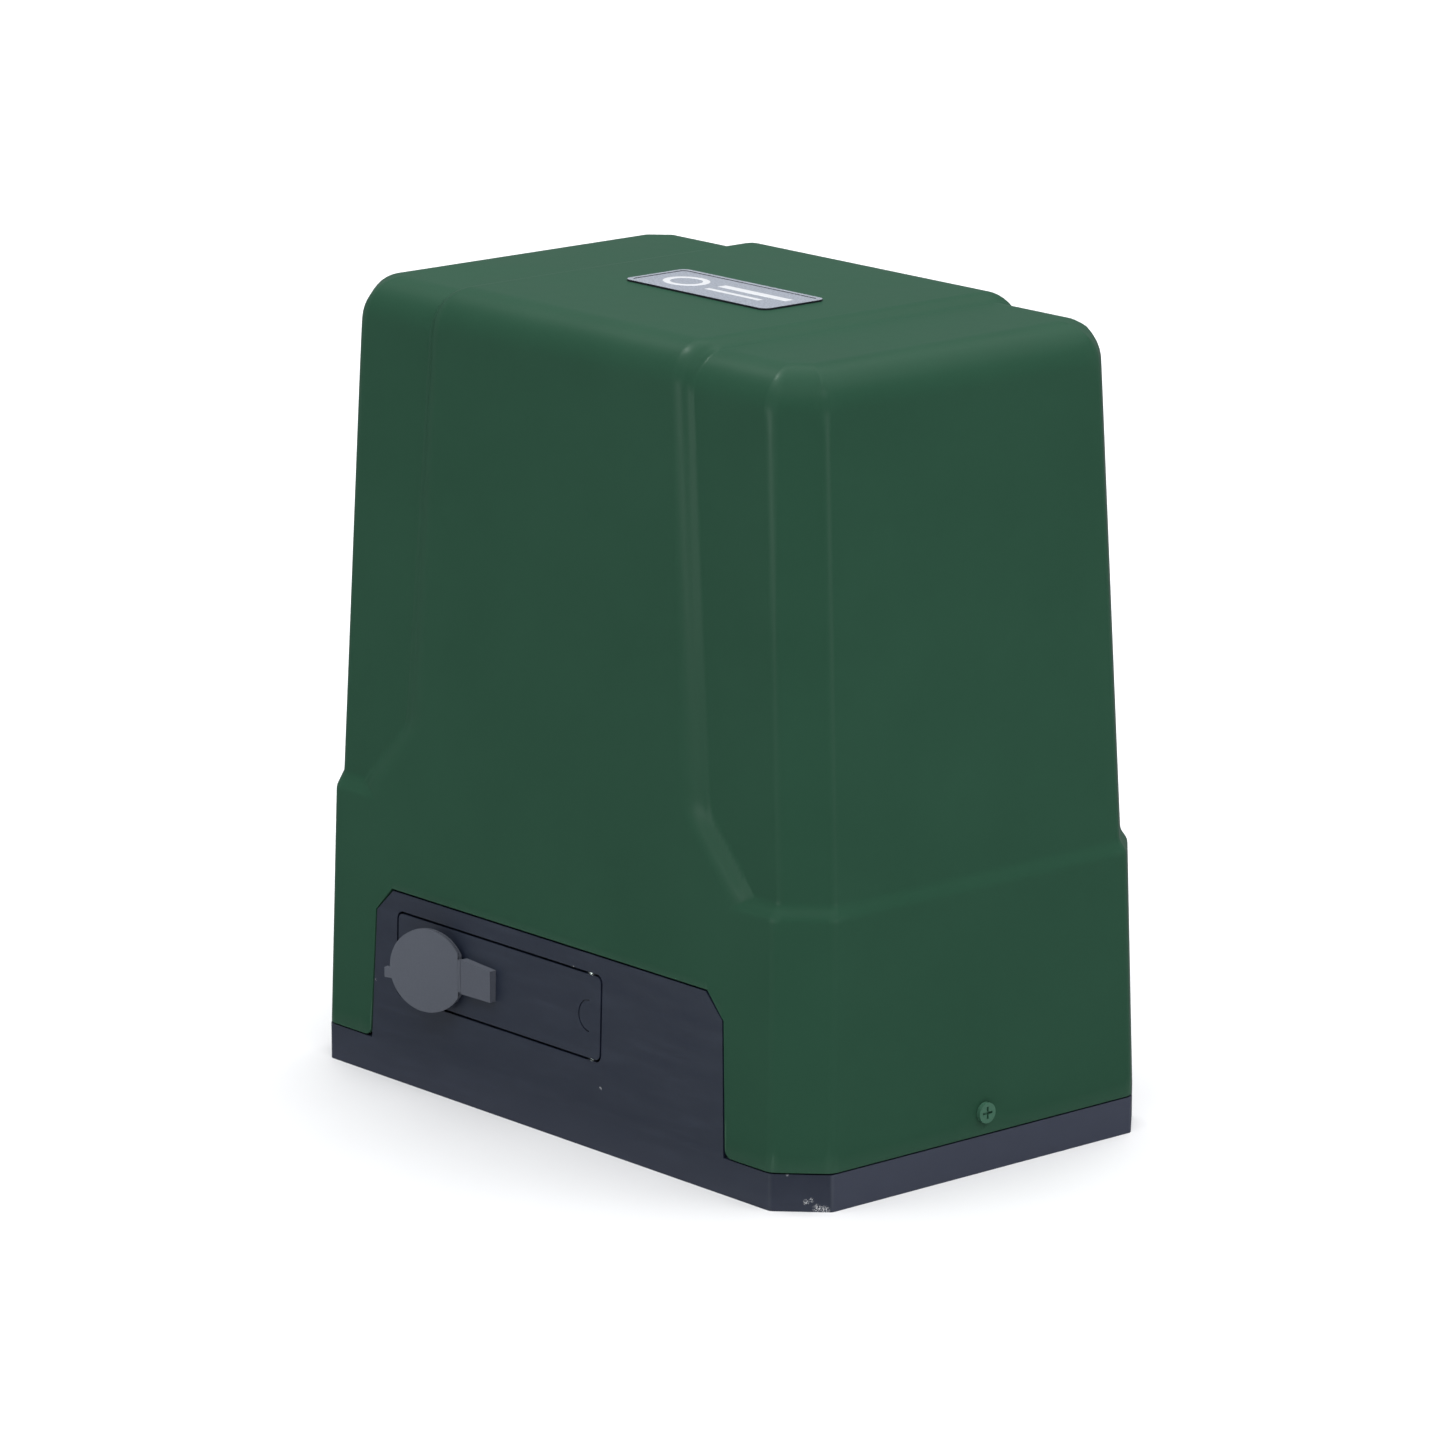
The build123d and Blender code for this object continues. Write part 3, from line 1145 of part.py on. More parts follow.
def make_all():
    """Build and save every piece."""
    save(make_cover(), "cover")
    save(make_cover_screws(), "cover_screws")
    save(make_name_plate(), "blank_name_plate")
    save(make_base(), "base")
    save(make_grommet(), "cable_grommet")
    save(make_release_lever(), "release_lever")
    save(make_hinge_pin(), "lever_hinge_pin")
    save(make_lock_barrel(), "lock_barrel")
    save(make_lock_plug(), "lock_plug")
    save(make_lock_tongue(), "lock_tongue")
    save(make_lock_cap(), "lock_cap")
    save(make_cap_strap(), "lock_cap_strap")
    save(make_release_rod(), "release_rod")
    save(make_clutch_pin(), "clutch_pin")
    save(make_clutch_spring(), "clutch_spring")
    save(make_gearbox_housing(), "gearbox_housing")
    save(make_gearbox_lid(), "gearbox_lid")
    save(make_lid_screws(), "gearbox_lid_screws")
    save(make_foot_bolts(), "gearbox_foot_bolts")
    save(make_output_shaft(), "output_shaft")
    save(make_shaft_circlip(), "shaft_circlip")
    save(make_worm_wheel(), "worm_wheel")
    save(make_shaft_bearing(BEARING_FRONT), "front_shaft_bearing")
    save(make_shaft_bearing(BEARING_REAR), "rear_shaft_bearing")
    save(make_shaft_bearing(SEAL), "shaft_seal")
    save(make_drive_pinion(), "drive_pinion")
    save(make_pinion_key(), "pinion_key")
    save(ring_part(drive_plane(PINION_FAR), 15.0, 4.0, 3.0), "pinion_washer")
    save(make_pinion_bolt(), "pinion_bolt")
    save(make_motor_housing(), "motor_housing")
    save(make_motor_end_cap(), "motor_end_cap")
    save(make_motor_screws(), "motor_screws")
    save(make_stator_core(), "stator_core")
    save(make_stator_windings(), "stator_windings")
    save(make_rotor(), "rotor")
    save(make_worm_shaft(), "worm_shaft")
    save(make_motor_bearing(WORM_BEARING), "worm_shaft_lower_bearing")
    save(make_motor_bearing(MIDDLE_BEARING), "worm_shaft_middle_bearing")
    save(make_motor_bearing(TOP_BEARING), "worm_shaft_top_bearing")
    save(make_bracket(), "board_bracket")
    save(make_control_board(), "control_board")
    save(screw_group(right_plane(BOARD_FACE), BOARD_SCREWS, BOARD_SCREW_R, 6.0, 2.8, 2.0), "board_screws")
    save(make_terminal_blocks(), "terminal_blocks")
    save(make_relays(), "relays")
    save(make_transformer_core(), "transformer_core")
    save(make_transformer_coil(), "transformer_coil")
    save(make_fuse_holder(), "fuse_holder")
    save(make_receiver(), "radio_receiver")
    save(make_capacitor(), "run_capacitor")
    save(make_capacitor_clip(), "capacitor_clip")
    save(make_limit_sensor(), "limit_sensor")
    save(make_screws_down(BRACKET_SCREWS, FLOOR + BRACKET_THICK, 3.8, 2.4, 6.5), "bracket_screws")
    save(make_screws_down([EARTH_PLACE], FLOOR, 4.2, 2.6, 4.5), "earth_screw")


make_all()
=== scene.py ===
"""Sliding-gate operator: looks, moulded cover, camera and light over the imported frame.

Lengths in the cover's part are millimetres; everywhere else they are metres.
"""

import json
import math

import bmesh
import bpy
import numpy as np
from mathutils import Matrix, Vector


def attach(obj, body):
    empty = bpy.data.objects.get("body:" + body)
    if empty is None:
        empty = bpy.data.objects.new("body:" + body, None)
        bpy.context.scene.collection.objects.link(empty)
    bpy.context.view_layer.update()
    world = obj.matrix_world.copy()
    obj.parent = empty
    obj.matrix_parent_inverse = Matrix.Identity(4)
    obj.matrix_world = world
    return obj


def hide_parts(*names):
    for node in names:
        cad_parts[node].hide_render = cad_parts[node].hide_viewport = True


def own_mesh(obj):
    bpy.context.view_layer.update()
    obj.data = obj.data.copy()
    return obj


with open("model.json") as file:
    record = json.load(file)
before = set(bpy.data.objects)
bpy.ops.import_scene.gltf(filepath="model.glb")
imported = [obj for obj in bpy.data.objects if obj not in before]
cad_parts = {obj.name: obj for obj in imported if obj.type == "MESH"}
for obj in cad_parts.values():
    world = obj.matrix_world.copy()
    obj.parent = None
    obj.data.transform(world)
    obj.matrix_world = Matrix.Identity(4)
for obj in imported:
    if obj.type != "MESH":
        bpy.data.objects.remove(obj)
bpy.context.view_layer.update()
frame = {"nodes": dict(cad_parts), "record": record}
MM = 0.001

# ----------------------------------------------------------- cover's sizes, mm
COVER_BOTTOM = 14.9
COVER_WALL = 3.2
# height, half length, half width and corner chamfer leg of the cover's outlines
SKIRT_LOW = (14.9, 148.0, 93.0, 16.5)
SKIRT_HIGH = (111.3, 146.4, 90.2, 16.4)
HOOD_LOW = (115.4, 144.5, 86.7, 14.9)
HOOD_HIGH = (313.8, 133.6, 82.6, 14.6)
TOP_ROUND = 16.0
CORNER_ROUND = 1.8
CORNER_ROUND_TOP = 5.0      # the chamfer's edges soften towards the top
SHOULDER_ROUND = 2.2
BAND_TOP = 316.6
BAND_PROUD = 3.3
# height and half width of the raised band, from its foot to its top
BAND_EDGE = ((100.0, 110.5), (115.4, 107.0), (143.0, 80.5), (316.6, 70.0))
BAND_SLOPE = ((143.0, 8.5), (300.0, 5.0))     # height and width of the band's slanted step
BAND_ROUND = 1.8
BAND_FILLET = 1.6           # fillet at the step's foot, growing over a short rise above the skirt
BLEND_RISE = 5.0
SKIRT_SOFTNESS = 1.0        # how far the band's own corners are softened, up and down
BAND_SOFTNESS = 5.0
# the cover's rays: where they bend over the top, and how far in they start
BEND_HEIGHT = 290.0
BEND_STEPS = 24
SEARCH_REACH = 60.0
SEARCH_ROUNDS = 40
START_LENGTHS = ((0.0, 112.0, 148.0), (0.0, 112.0, 116.0))
START_WIDTHS = ((0.0, 55.0, 93.0), (0.0, 55.0, 61.0))
TOP_STRIPS_END = 111.5      # beyond this the flat top closes with one end face


def smooth_max(a, b, radius):
    """Larger of two distances, with the edge between them rounded."""
    over_a = np.maximum(a + radius, 0.0)
    over_b = np.maximum(b + radius, 0.0)
    rounded = np.hypot(over_a, over_b) - radius
    return np.where((over_a > 0) & (over_b > 0), rounded, np.maximum(a, b))


def smooth_min(a, b, radius):
    """Smaller of two distances, with the inner corner filled."""
    return -smooth_max(-a, -b, radius)


def soft_profile(z, points, softness):
    """Broken line through (height, value) points, its corners softened."""
    heights = np.array([p[0] for p in points])
    values = np.array([p[1] for p in points])
    total = np.zeros_like(z)
    offsets = np.linspace(-1.0, 1.0, 9)
    weights = 1.0 - np.abs(offsets) * 0.8
    for offset, weight in zip(offsets, weights):
        total += weight * np.interp(z + offset * softness, heights, values)
    return total / weights.sum()


def cover_distance(p, inset):
    """Distance of points from the cover's skin, moved inwards by inset."""
    x, y, z = np.abs(p[:, 0]), np.abs(p[:, 1]), p[:, 2]
    stations = (SKIRT_LOW, SKIRT_HIGH, HOOD_LOW, HOOD_HIGH)
    half_x = soft_profile(z, [(s[0], s[1]) for s in stations], SHOULDER_ROUND)
    half_y = soft_profile(z, [(s[0], s[2]) for s in stations], SHOULDER_ROUND)
    leg = soft_profile(z, [(s[0], s[3]) for s in stations], SHOULDER_ROUND)
    side = x - half_x + inset
    front = y - half_y + inset
    corner = (x + y - (half_x + half_y - leg)) / math.sqrt(2) + inset
    softened = np.interp(z, (292.0, 308.0), (CORNER_ROUND, CORNER_ROUND_TOP))
    ring = smooth_max(smooth_max(side, corner, softened), front, softened)
    ring = np.maximum(ring, smooth_max(front, corner, softened))
    top = z - HOOD_HIGH[0] + inset
    main = smooth_max(ring, top, TOP_ROUND - inset)
    band_half_y = soft_profile(
        z, ((SKIRT_LOW[0], SKIRT_LOW[2]), (SKIRT_HIGH[0], SKIRT_HIGH[2]),
            (BAND_TOP, HOOD_HIGH[2] + BAND_PROUD)), SKIRT_SOFTNESS)
    skin = smooth_max(y - band_half_y + inset, z - BAND_TOP + inset, TOP_ROUND - inset)
    edge = x - soft_profile(z, BAND_EDGE, BAND_SOFTNESS) + inset
    slope = np.interp(z, [s[0] for s in BAND_SLOPE], [s[1] for s in BAND_SLOPE])
    step = (skin * slope + edge * BAND_PROUD) / np.hypot(slope, BAND_PROUD)
    band = np.maximum(smooth_max(skin, step, BAND_ROUND), edge - slope)
    blend = BAND_FILLET * np.clip((z - SKIRT_HIGH[0]) / BLEND_RISE, 0.0, 1.0)
    return smooth_min(main, band, blend)


def spaced(stops):
    """Values from (start, end, spacing) stretches, joined without repeats."""
    values = [stops[0][0]]
    for start, end, spacing in stops:
        count = max(1, round(abs(end - start) / spacing))
        values += [start + (end - start) * k / count for k in range(1, count + 1)]
    return values


def perimeter():
    """Plan points on the outer outline: one quarter, mirrored into four."""
    half_x, half_y, leg = SKIRT_LOW[1:]
    front = [(x, -half_y) for x in spaced([(0, 60, 6), (60, 118, 0.7), (118, half_x - leg - 4, 3),
                                           (half_x - leg - 4, half_x - leg, 0.6)])]
    cut = [(half_x - leg + t, -half_y + t)
           for t in spaced([(0, 3, 0.6), (3, leg - 3, 3), (leg - 3, leg, 0.6)])]
    side = [(half_x, -half_y + leg + t) for t in spaced([(0, 4, 0.6), (4, half_y - leg, 7)])]
    quarter = front + cut[1:] + side[1:]
    right_front = quarter
    right_back = [(x, -y) for x, y in reversed(quarter[:-1])]
    left_back = [(-x, -y) for x, y in quarter[1:]]
    left_front = [(-x, y) for x, y in reversed(quarter[1:-1])]
    return np.array(right_front + right_back + left_back + left_front)


def shell_rows(inset):
    """Rows of points of the cover's skin from its lower edge up to the flat top."""
    outline = perimeter()
    starts = [np.interp(np.abs(outline[:, axis]), *table) * np.sign(outline[:, axis])
              for axis, table in enumerate((START_LENGTHS, START_WIDTHS))]
    anchor = np.stack(starts, 1)
    outwards = outline - anchor
    outwards /= np.linalg.norm(outwards, axis=1)[:, None]
    heights = spaced([(COVER_BOTTOM, 76, 8), (76, 104, 5), (104, 122, 0.9), (122, 150, 2.0),
                      (150, 280, 9), (280, BEND_HEIGHT, 3)])
    rays = []
    for z in heights:
        origin = np.column_stack([anchor, np.full(len(anchor), z)])
        rays.append((origin, np.column_stack([outwards, np.zeros(len(anchor))])))
    for step in range(1, BEND_STEPS + 1):
        angle = math.pi / 2 * step / BEND_STEPS
        origin = np.column_stack([anchor, np.full(len(anchor), BEND_HEIGHT)])
        way = np.column_stack([outwards * math.cos(angle), np.full(len(anchor), math.sin(angle))])
        rays.append((origin, way))
    rows = []
    for origin, way in rays:
        low = np.zeros(len(origin))
        high = np.full(len(origin), SEARCH_REACH)
        for _ in range(SEARCH_ROUNDS):
            middle = (low + high) / 2
            inside = cover_distance(origin + way * middle[:, None], inset) < 0
            low = np.where(inside, middle, low)
            high = np.where(inside, high, middle)
        rows.append(origin + way * low[:, None])
    return rows


def add_shell(mesh, inset):
    """Add one skin of the cover to a bmesh and return its lowest row."""
    rows = shell_rows(inset)
    count = len(rows[0])
    verts = [[mesh.verts.new(Vector(p) * MM) for p in row] for row in rows]
    for low, high in zip(verts, verts[1:]):
        for k in range(count):
            n = (k + 1) % count
            mesh.faces.new((low[k], low[n], high[n], high[k]))
    top = verts[-1]
    across = {}
    for k in range(count):
        x = rows[-1][k][0]
        if abs(x) <= TOP_STRIPS_END:
            key = round(x, 2)
            across.setdefault(key, {})["front" if rows[-1][k][1] < 0 else "back"] = top[k]
    keys = sorted(across)
    for a, b in zip(keys, keys[1:]):
        mesh.faces.new((across[a]["front"], across[b]["front"], across[b]["back"], across[a]["back"]))
    for sign in (-1, 1):
        ends = [k for k in range(count) if rows[-1][k][0] * sign > abs(keys[0]) - 0.01]
        mesh.faces.new([top[k] for k in sorted(ends)])
    return verts[0]


def new_object(name, mesh):
    """Object made of a bmesh, which is then freed."""
    data = bpy.data.meshes.new(name)
    mesh.to_mesh(data)
    mesh.free()
    piece = bpy.data.objects.new(name, data)
    bpy.context.collection.objects.link(piece)
    return piece


def make_cover_mesh():
    """Moulded cover with soft edges: outer and inner skin joined at the rim."""
    mesh = bmesh.new()
    outer = add_shell(mesh, 0.0)
    inner = add_shell(mesh, COVER_WALL)
    count = len(outer)
    for k in range(count):
        n = (k + 1) % count
        mesh.faces.new((outer[n], outer[k], inner[k], inner[n]))
    bmesh.ops.recalc_face_normals(mesh, faces=mesh.faces)
    return new_object("moulded_cover", mesh)


# ------------------------------------------------------------------ materials
def node_setup(name):
    """New node material with its shader and an output already joined."""
    material = bpy.data.materials.new(name)
    material.use_nodes = True
    nodes = material.node_tree.nodes
    return material, nodes, material.node_tree.links, nodes["Principled BSDF"]


def noise(nodes, links, scale, detail=3.0, roughness=0.5, stretch=None):
    """Noise texture in the object's own metres; stretch draws it out along an axis."""
    coords = nodes.new("ShaderNodeTexCoord")
    texture = nodes.new("ShaderNodeTexNoise")
    texture.inputs["Scale"].default_value = scale
    texture.inputs["Detail"].default_value = detail
    texture.inputs["Roughness"].default_value = roughness
    if stretch:
        mapping = nodes.new("ShaderNodeMapping")
        mapping.inputs["Scale"].default_value = stretch
        links.new(coords.outputs["Object"], mapping.inputs["Vector"])
        links.new(mapping.outputs["Vector"], texture.inputs["Vector"])
    else:
        links.new(coords.outputs["Object"], texture.inputs["Vector"])
    return texture.outputs["Fac"]


def remap(nodes, links, value, low, high, to_low, to_high):
    """Value moved from one range to another and held inside it."""
    node = nodes.new("ShaderNodeMapRange")
    node.inputs["From Min"].default_value = low
    node.inputs["From Max"].default_value = high
    node.inputs["To Min"].default_value = to_low
    node.inputs["To Max"].default_value = to_high
    links.new(value, node.inputs["Value"])
    return node.outputs["Result"]


def mix_colour(nodes, links, factor, first, second):
    """Blend of two colours; either can be a fixed colour or another node's output."""
    node = nodes.new("ShaderNodeMix")
    node.data_type = "RGBA"
    links.new(factor, node.inputs["Factor"])
    for socket, colour in (("A", first), ("B", second)):
        target = [i for i in node.inputs if i.name == socket and i.type == "RGBA"][0]
        if isinstance(colour, tuple):
            target.default_value = (*colour, 1.0)
        else:
            links.new(colour, target)
    return [o for o in node.outputs if o.type == "RGBA"][0]


def add_bumps(nodes, links, shader, heights):
    """Stack of bumps on the shader: (value, depth in metres) pairs."""
    previous = None
    for value, depth in heights:
        bump = nodes.new("ShaderNodeBump")
        bump.inputs["Strength"].default_value = 1.0
        bump.inputs["Distance"].default_value = depth
        links.new(value, bump.inputs["Height"])
        if previous:
            links.new(previous, bump.inputs["Normal"])
        previous = bump.outputs["Normal"]
    links.new(previous, shader.inputs["Normal"])


def combine(nodes, links, operation, first, second):
    """Result of a maths operation on two values; either can be a number."""
    node = nodes.new("ShaderNodeMath")
    node.operation = operation
    for socket, value in zip(node.inputs, (first, second)):
        if isinstance(value, (int, float)):
            socket.default_value = value
        else:
            links.new(value, socket)
    return node.outputs["Value"]


def place_axes(nodes, links):
    """The object's own x, y and z in metres."""
    coords = nodes.new("ShaderNodeTexCoord")
    split = nodes.new("ShaderNodeSeparateXYZ")
    links.new(coords.outputs["Object"], split.inputs["Vector"])
    return split.outputs["X"], split.outputs["Y"], split.outputs["Z"]


def tinted(colour, factor):
    """Colour made lighter or darker."""
    return tuple(min(1.0, c * factor) for c in colour)


def grained(name, colour, roughness, metallic=0.0, grain=2200.0, depth=0.00002, spread=0.06,
            stretch=None, specular=0.5, wave=0.0):
    """Solid material with a fine real-size grain, slight colour drift and uneven gloss."""
    material, nodes, links, shader = node_setup(name)
    fine = noise(nodes, links, grain, 2.0, 0.5, stretch)
    broad = noise(nodes, links, 18.0, 3.0, 0.55)
    drift = mix_colour(nodes, links, remap(nodes, links, broad, 0.3, 0.7, 0.0, 1.0),
                       tinted(colour, 1 - spread), tinted(colour, 1 + spread))
    speck = mix_colour(nodes, links, remap(nodes, links, fine, 0.35, 0.75, 0.0, spread * 2),
                       drift, tinted(colour, 1.6))
    links.new(speck, shader.inputs["Base Color"])
    links.new(remap(nodes, links, broad, 0.3, 0.7, roughness - 0.04, roughness + 0.04),
              shader.inputs["Roughness"])
    shader.inputs["Metallic"].default_value = metallic
    shader.inputs["Specular IOR Level"].default_value = specular
    heights = [(fine, depth)]
    if wave:
        heights.append((noise(nodes, links, 60.0, 2.0), wave))
    add_bumps(nodes, links, shader, heights)
    return material


# worn places on the dark base, metres: place and radius of each chip
CHIPS = (
    ((0.1411, -0.0834, 0.0038), 0.0012), ((0.1425, -0.0820, 0.0046), 0.0010),
    ((0.1440, -0.0805, 0.0014), 0.0018), ((0.1460, -0.0787, 0.0006), 0.0022),
    ((0.1361, -0.0884, 0.0142), 0.0006), ((0.0338, -0.0925, 0.0249), 0.0008),
    ((-0.1033, -0.0925, 0.0384), 0.0008), ((0.0165, -0.0920, 0.0688), 0.0009),
)


CHIP_BREAK = (0.52, 0.56)               # noise levels between which a chip's edge breaks up
CHIP_COLOUR = (0.66, 0.67, 0.68)
# painted reflection: the bluish tone that stands in for the floor's sheen on the base's lowest part and
# the strip's ends
FLOOR_SHEEN = (0.085, 0.092, 0.135)
FLOOR_SHEEN_END_X = (0.1472, 0.1478)           # the strip's end faces
FLOOR_SHEEN_END_SHARE = 0.30
FLOOR_SHEEN_HEIGHT = 0.018
FLOOR_SHEEN_LOW_SHARE = 0.16


def base_plastic(name, colour):
    """Dark satin moulding with a fine grain, faint rubs, a few bright chips and a painted reflection of
    the floor low down and on the strip's ends.
    """
    material, nodes, links, shader = node_setup(name)
    fine = noise(nodes, links, 2600.0, 2.0)
    rub = noise(nodes, links, 95.0, 5.0, 0.62, (0.35, 1.0, 2.4))
    flake = noise(nodes, links, 2400.0, 3.0, 0.7)
    rubbed = mix_colour(nodes, links, remap(nodes, links, rub, 0.5, 0.8, 0.0, 0.35),
                        colour, tinted(colour, 1.7))
    coords = nodes.new("ShaderNodeTexCoord")
    chipped = None
    for place, radius in CHIPS:
        near = nodes.new("ShaderNodeVectorMath")
        near.operation = "DISTANCE"
        near.inputs[1].default_value = place
        links.new(coords.outputs["Object"], near.inputs[0])
        inside = remap(nodes, links, near.outputs["Value"], radius * 0.5, radius * 1.1, 1.0, 0.0)
        chipped = inside if chipped is None else combine(nodes, links, "MAXIMUM", chipped, inside)
    broken = combine(nodes, links, "MULTIPLY", chipped,
                     remap(nodes, links, flake, *CHIP_BREAK, 0.0, 1.0))
    # painted reflection of the pale floor: a lighter bluish sheen on the strip's ends, and fading
    # upwards from the floor
    x, _, z = place_axes(nodes, links)
    painted_sheen = combine(nodes, links, "MAXIMUM", remap(nodes, links, x, *FLOOR_SHEEN_END_X, 0.0, FLOOR_SHEEN_END_SHARE),
                   remap(nodes, links, z, 0.0, FLOOR_SHEEN_HEIGHT, FLOOR_SHEEN_LOW_SHARE, 0.0))
    with_sheen = mix_colour(nodes, links, painted_sheen, rubbed, FLOOR_SHEEN)
    final = mix_colour(nodes, links, broken, with_sheen, CHIP_COLOUR)
    links.new(final, shader.inputs["Base Color"])
    links.new(remap(nodes, links, rub, 0.3, 0.75, 0.36, 0.48), shader.inputs["Roughness"])
    shader.inputs["Specular IOR Level"].default_value = 0.42
    add_bumps(nodes, links, shader, [(fine, 0.000018), (rub, 0.00003)])
    return material


# painted highlight: paler tone mixed into the cover paint along its convex edges
EDGE_HIGHLIGHT_TONE = (0.075, 0.140, 0.100)
EDGE_HIGHLIGHT_RANGE = (0.512, 0.550)             # pointiness where the painted edge highlight starts and is full
EDGE_HIGHLIGHT_SHARE = 0.30


def paint_with_edge_highlight(name, colour, roughness, specular):
    """Satin paint with a painted highlight: its outer edges are painted lighter, standing in for the
    gloss along them.
    """
    material = grained(name, colour, roughness, 0.0, 2400.0, 0.000006, 0.035, specular=specular,
                       wave=0.00002)
    nodes = material.node_tree.nodes
    links = material.node_tree.links
    shader = nodes["Principled BSDF"]
    geometry = nodes.new("ShaderNodeNewGeometry")
    # painted highlight: convex edges mixed towards a paler tone, in place of the light's gloss on them
    edge = remap(nodes, links, geometry.outputs["Pointiness"], *EDGE_HIGHLIGHT_RANGE, 0.0, EDGE_HIGHLIGHT_SHARE)
    painted = shader.inputs["Base Color"].links[0].from_socket
    links.new(mix_colour(nodes, links, edge, painted, EDGE_HIGHLIGHT_TONE), shader.inputs["Base Color"])
    return material


# blank plate: centre, and the plain shapes pressed into it, metres from that centre
PLATE_CENTRE = (0.002, -0.003)
PLATE_BARS = ((0.014, 0.0035, 0.020, 0.0022), (0.010, -0.0040, 0.016, 0.0013))
PLATE_RING = (-0.022, 0.0, 0.0105, 0.0085)
PLATE_RING_WALL = (0.82, 0.13, 0.17)    # middle of the ring's wall, and its half width's two ends
PLATE_SIDE_SHADE = (0.010, 0.012, 0.020)    # painted shade: the plate's side faces, darkened for the shadow line under its edge


def pressed_plate(name, field, raised):
    """Bright metal plate: speckled field, plain ring and plain bars standing up from it, its side faces
    painted dark as shade.
    """
    material, nodes, links, shader = node_setup(name)
    x, y, _ = place_axes(nodes, links)
    across = combine(nodes, links, "SUBTRACT", x, PLATE_CENTRE[0])
    along = combine(nodes, links, "SUBTRACT", y, PLATE_CENTRE[1])

    def offset(value, centre, half):
        shifted = combine(nodes, links, "SUBTRACT", value, centre)
        return combine(nodes, links, "DIVIDE", combine(nodes, links, "ABSOLUTE", shifted, 0.0), half)

    marks = None
    for bar_x, bar_y, half_x, half_y in PLATE_BARS:
        reach = combine(nodes, links, "MAXIMUM", offset(across, bar_x, half_x),
                        offset(along, bar_y, half_y))
        bar = remap(nodes, links, reach, 0.94, 1.0, 1.0, 0.0)
        marks = bar if marks is None else combine(nodes, links, "MAXIMUM", marks, bar)
    ring_x, ring_y, ring_a, ring_b = PLATE_RING
    squares = [combine(nodes, links, "POWER", offset(value, centre, half), 2.0)
               for value, centre, half in ((across, ring_x, ring_a), (along, ring_y, ring_b))]
    radius = combine(nodes, links, "SQRT", combine(nodes, links, "ADD", *squares), 0.0)
    middle, inner, outer = PLATE_RING_WALL
    wall = combine(nodes, links, "ABSOLUTE", combine(nodes, links, "SUBTRACT", radius, middle), 0.0)
    marks = combine(nodes, links, "MAXIMUM", marks, remap(nodes, links, wall, inner, outer, 1.0, 0.0))
    speck = remap(nodes, links, noise(nodes, links, 1400.0, 3.0, 0.7), 0.42, 0.62, 0.0, 1.0)
    stippled = mix_colour(nodes, links, speck, tinted(field, 0.8), tinted(field, 1.35))
    faced = mix_colour(nodes, links, marks, stippled, raised)
    # painted shade: faces turned sideways are painted dark, standing in for the shadow line under the
    # plate
    geometry = nodes.new("ShaderNodeNewGeometry")
    parts = nodes.new("ShaderNodeSeparateXYZ")
    links.new(geometry.outputs["Normal"], parts.inputs[0])
    side = remap(nodes, links, parts.outputs["Z"], 0.3, 0.8, 1.0, 0.0)
    links.new(mix_colour(nodes, links, side, faced, PLATE_SIDE_SHADE), shader.inputs["Base Color"])
    links.new(remap(nodes, links, marks, 0.0, 1.0, 0.45, 0.30), shader.inputs["Roughness"])
    shader.inputs["Metallic"].default_value = 0.35
    add_bumps(nodes, links, shader, [(speck, 0.00002), (marks, 0.00015)])
    return material


def machined(name, colour, roughness, grain=900.0):
    """Turned or ground metal with fine tool marks."""
    return grained(name, colour, roughness, 1.0, grain, 0.00001, 0.05, (1.0, 1.0, 5.0))


LOOKS = {
    "cover_paint": paint_with_edge_highlight("cover_paint", (0.0200, 0.0635, 0.0380), 0.35, 0.03),
    "painted_screw": grained("painted_screw", (0.045, 0.125, 0.080), 0.40, 0.0, 1500.0, 0.00001,
                             specular=0.2),
    "base_plastic": base_plastic("base_plastic", (0.0118, 0.0172, 0.0350)),
    "plate_metal": pressed_plate("plate_metal", (0.26, 0.28, 0.33), (0.78, 0.79, 0.82)),
    "black_rubber": grained("black_rubber", (0.018, 0.018, 0.020), 0.75, 0.0, 1500.0),
    "steel": machined("steel", (0.78, 0.78, 0.80), 0.34),
    "lock_metal": machined("lock_metal", (0.70, 0.70, 0.71), 0.28, 1500.0),
    "cap_rubber": grained("cap_rubber", (0.076, 0.083, 0.105), 0.62, 0.0, 1300.0, 0.00002, 0.05,
                          specular=0.2, wave=0.00003),
    "cast_aluminium": grained("cast_aluminium", (0.50, 0.51, 0.52), 0.52, 1.0, 700.0, 0.00012, 0.08),
    "bronze": machined("bronze", (0.60, 0.38, 0.15), 0.36),
    "bearing_steel": machined("bearing_steel", (0.58, 0.58, 0.59), 0.22, 1400.0),
    "lamination_steel": grained("lamination_steel", (0.24, 0.24, 0.26), 0.5, 1.0, 1100.0, 0.00005, 0.08,
                                (0.02, 0.02, 1.0)),
    "copper": grained("copper", (0.62, 0.24, 0.10), 0.38, 1.0, 900.0, 0.0001, 0.12, (0.1, 0.1, 1.0)),
    "zinc_sheet": grained("zinc_sheet", (0.52, 0.53, 0.52), 0.42, 1.0, 120.0, 0.00001, 0.12),
    "circuit_board": grained("circuit_board", (0.015, 0.13, 0.06), 0.35, 0.0, 700.0, 0.00003, 0.12),
    "terminal_plastic": grained("terminal_plastic", (0.04, 0.24, 0.09), 0.42),
    "relay_plastic": grained("relay_plastic", (0.02, 0.04, 0.13), 0.36),
    "coil_tape": grained("coil_tape", (0.62, 0.50, 0.10), 0.5),
    "black_plastic": grained("black_plastic", (0.02, 0.02, 0.022), 0.46),
    "white_plastic": grained("white_plastic", (0.74, 0.74, 0.70), 0.45),
}
NODE_SLOT = {part["node"]: part["material_slot"] for part in frame["record"]["subparts"]}


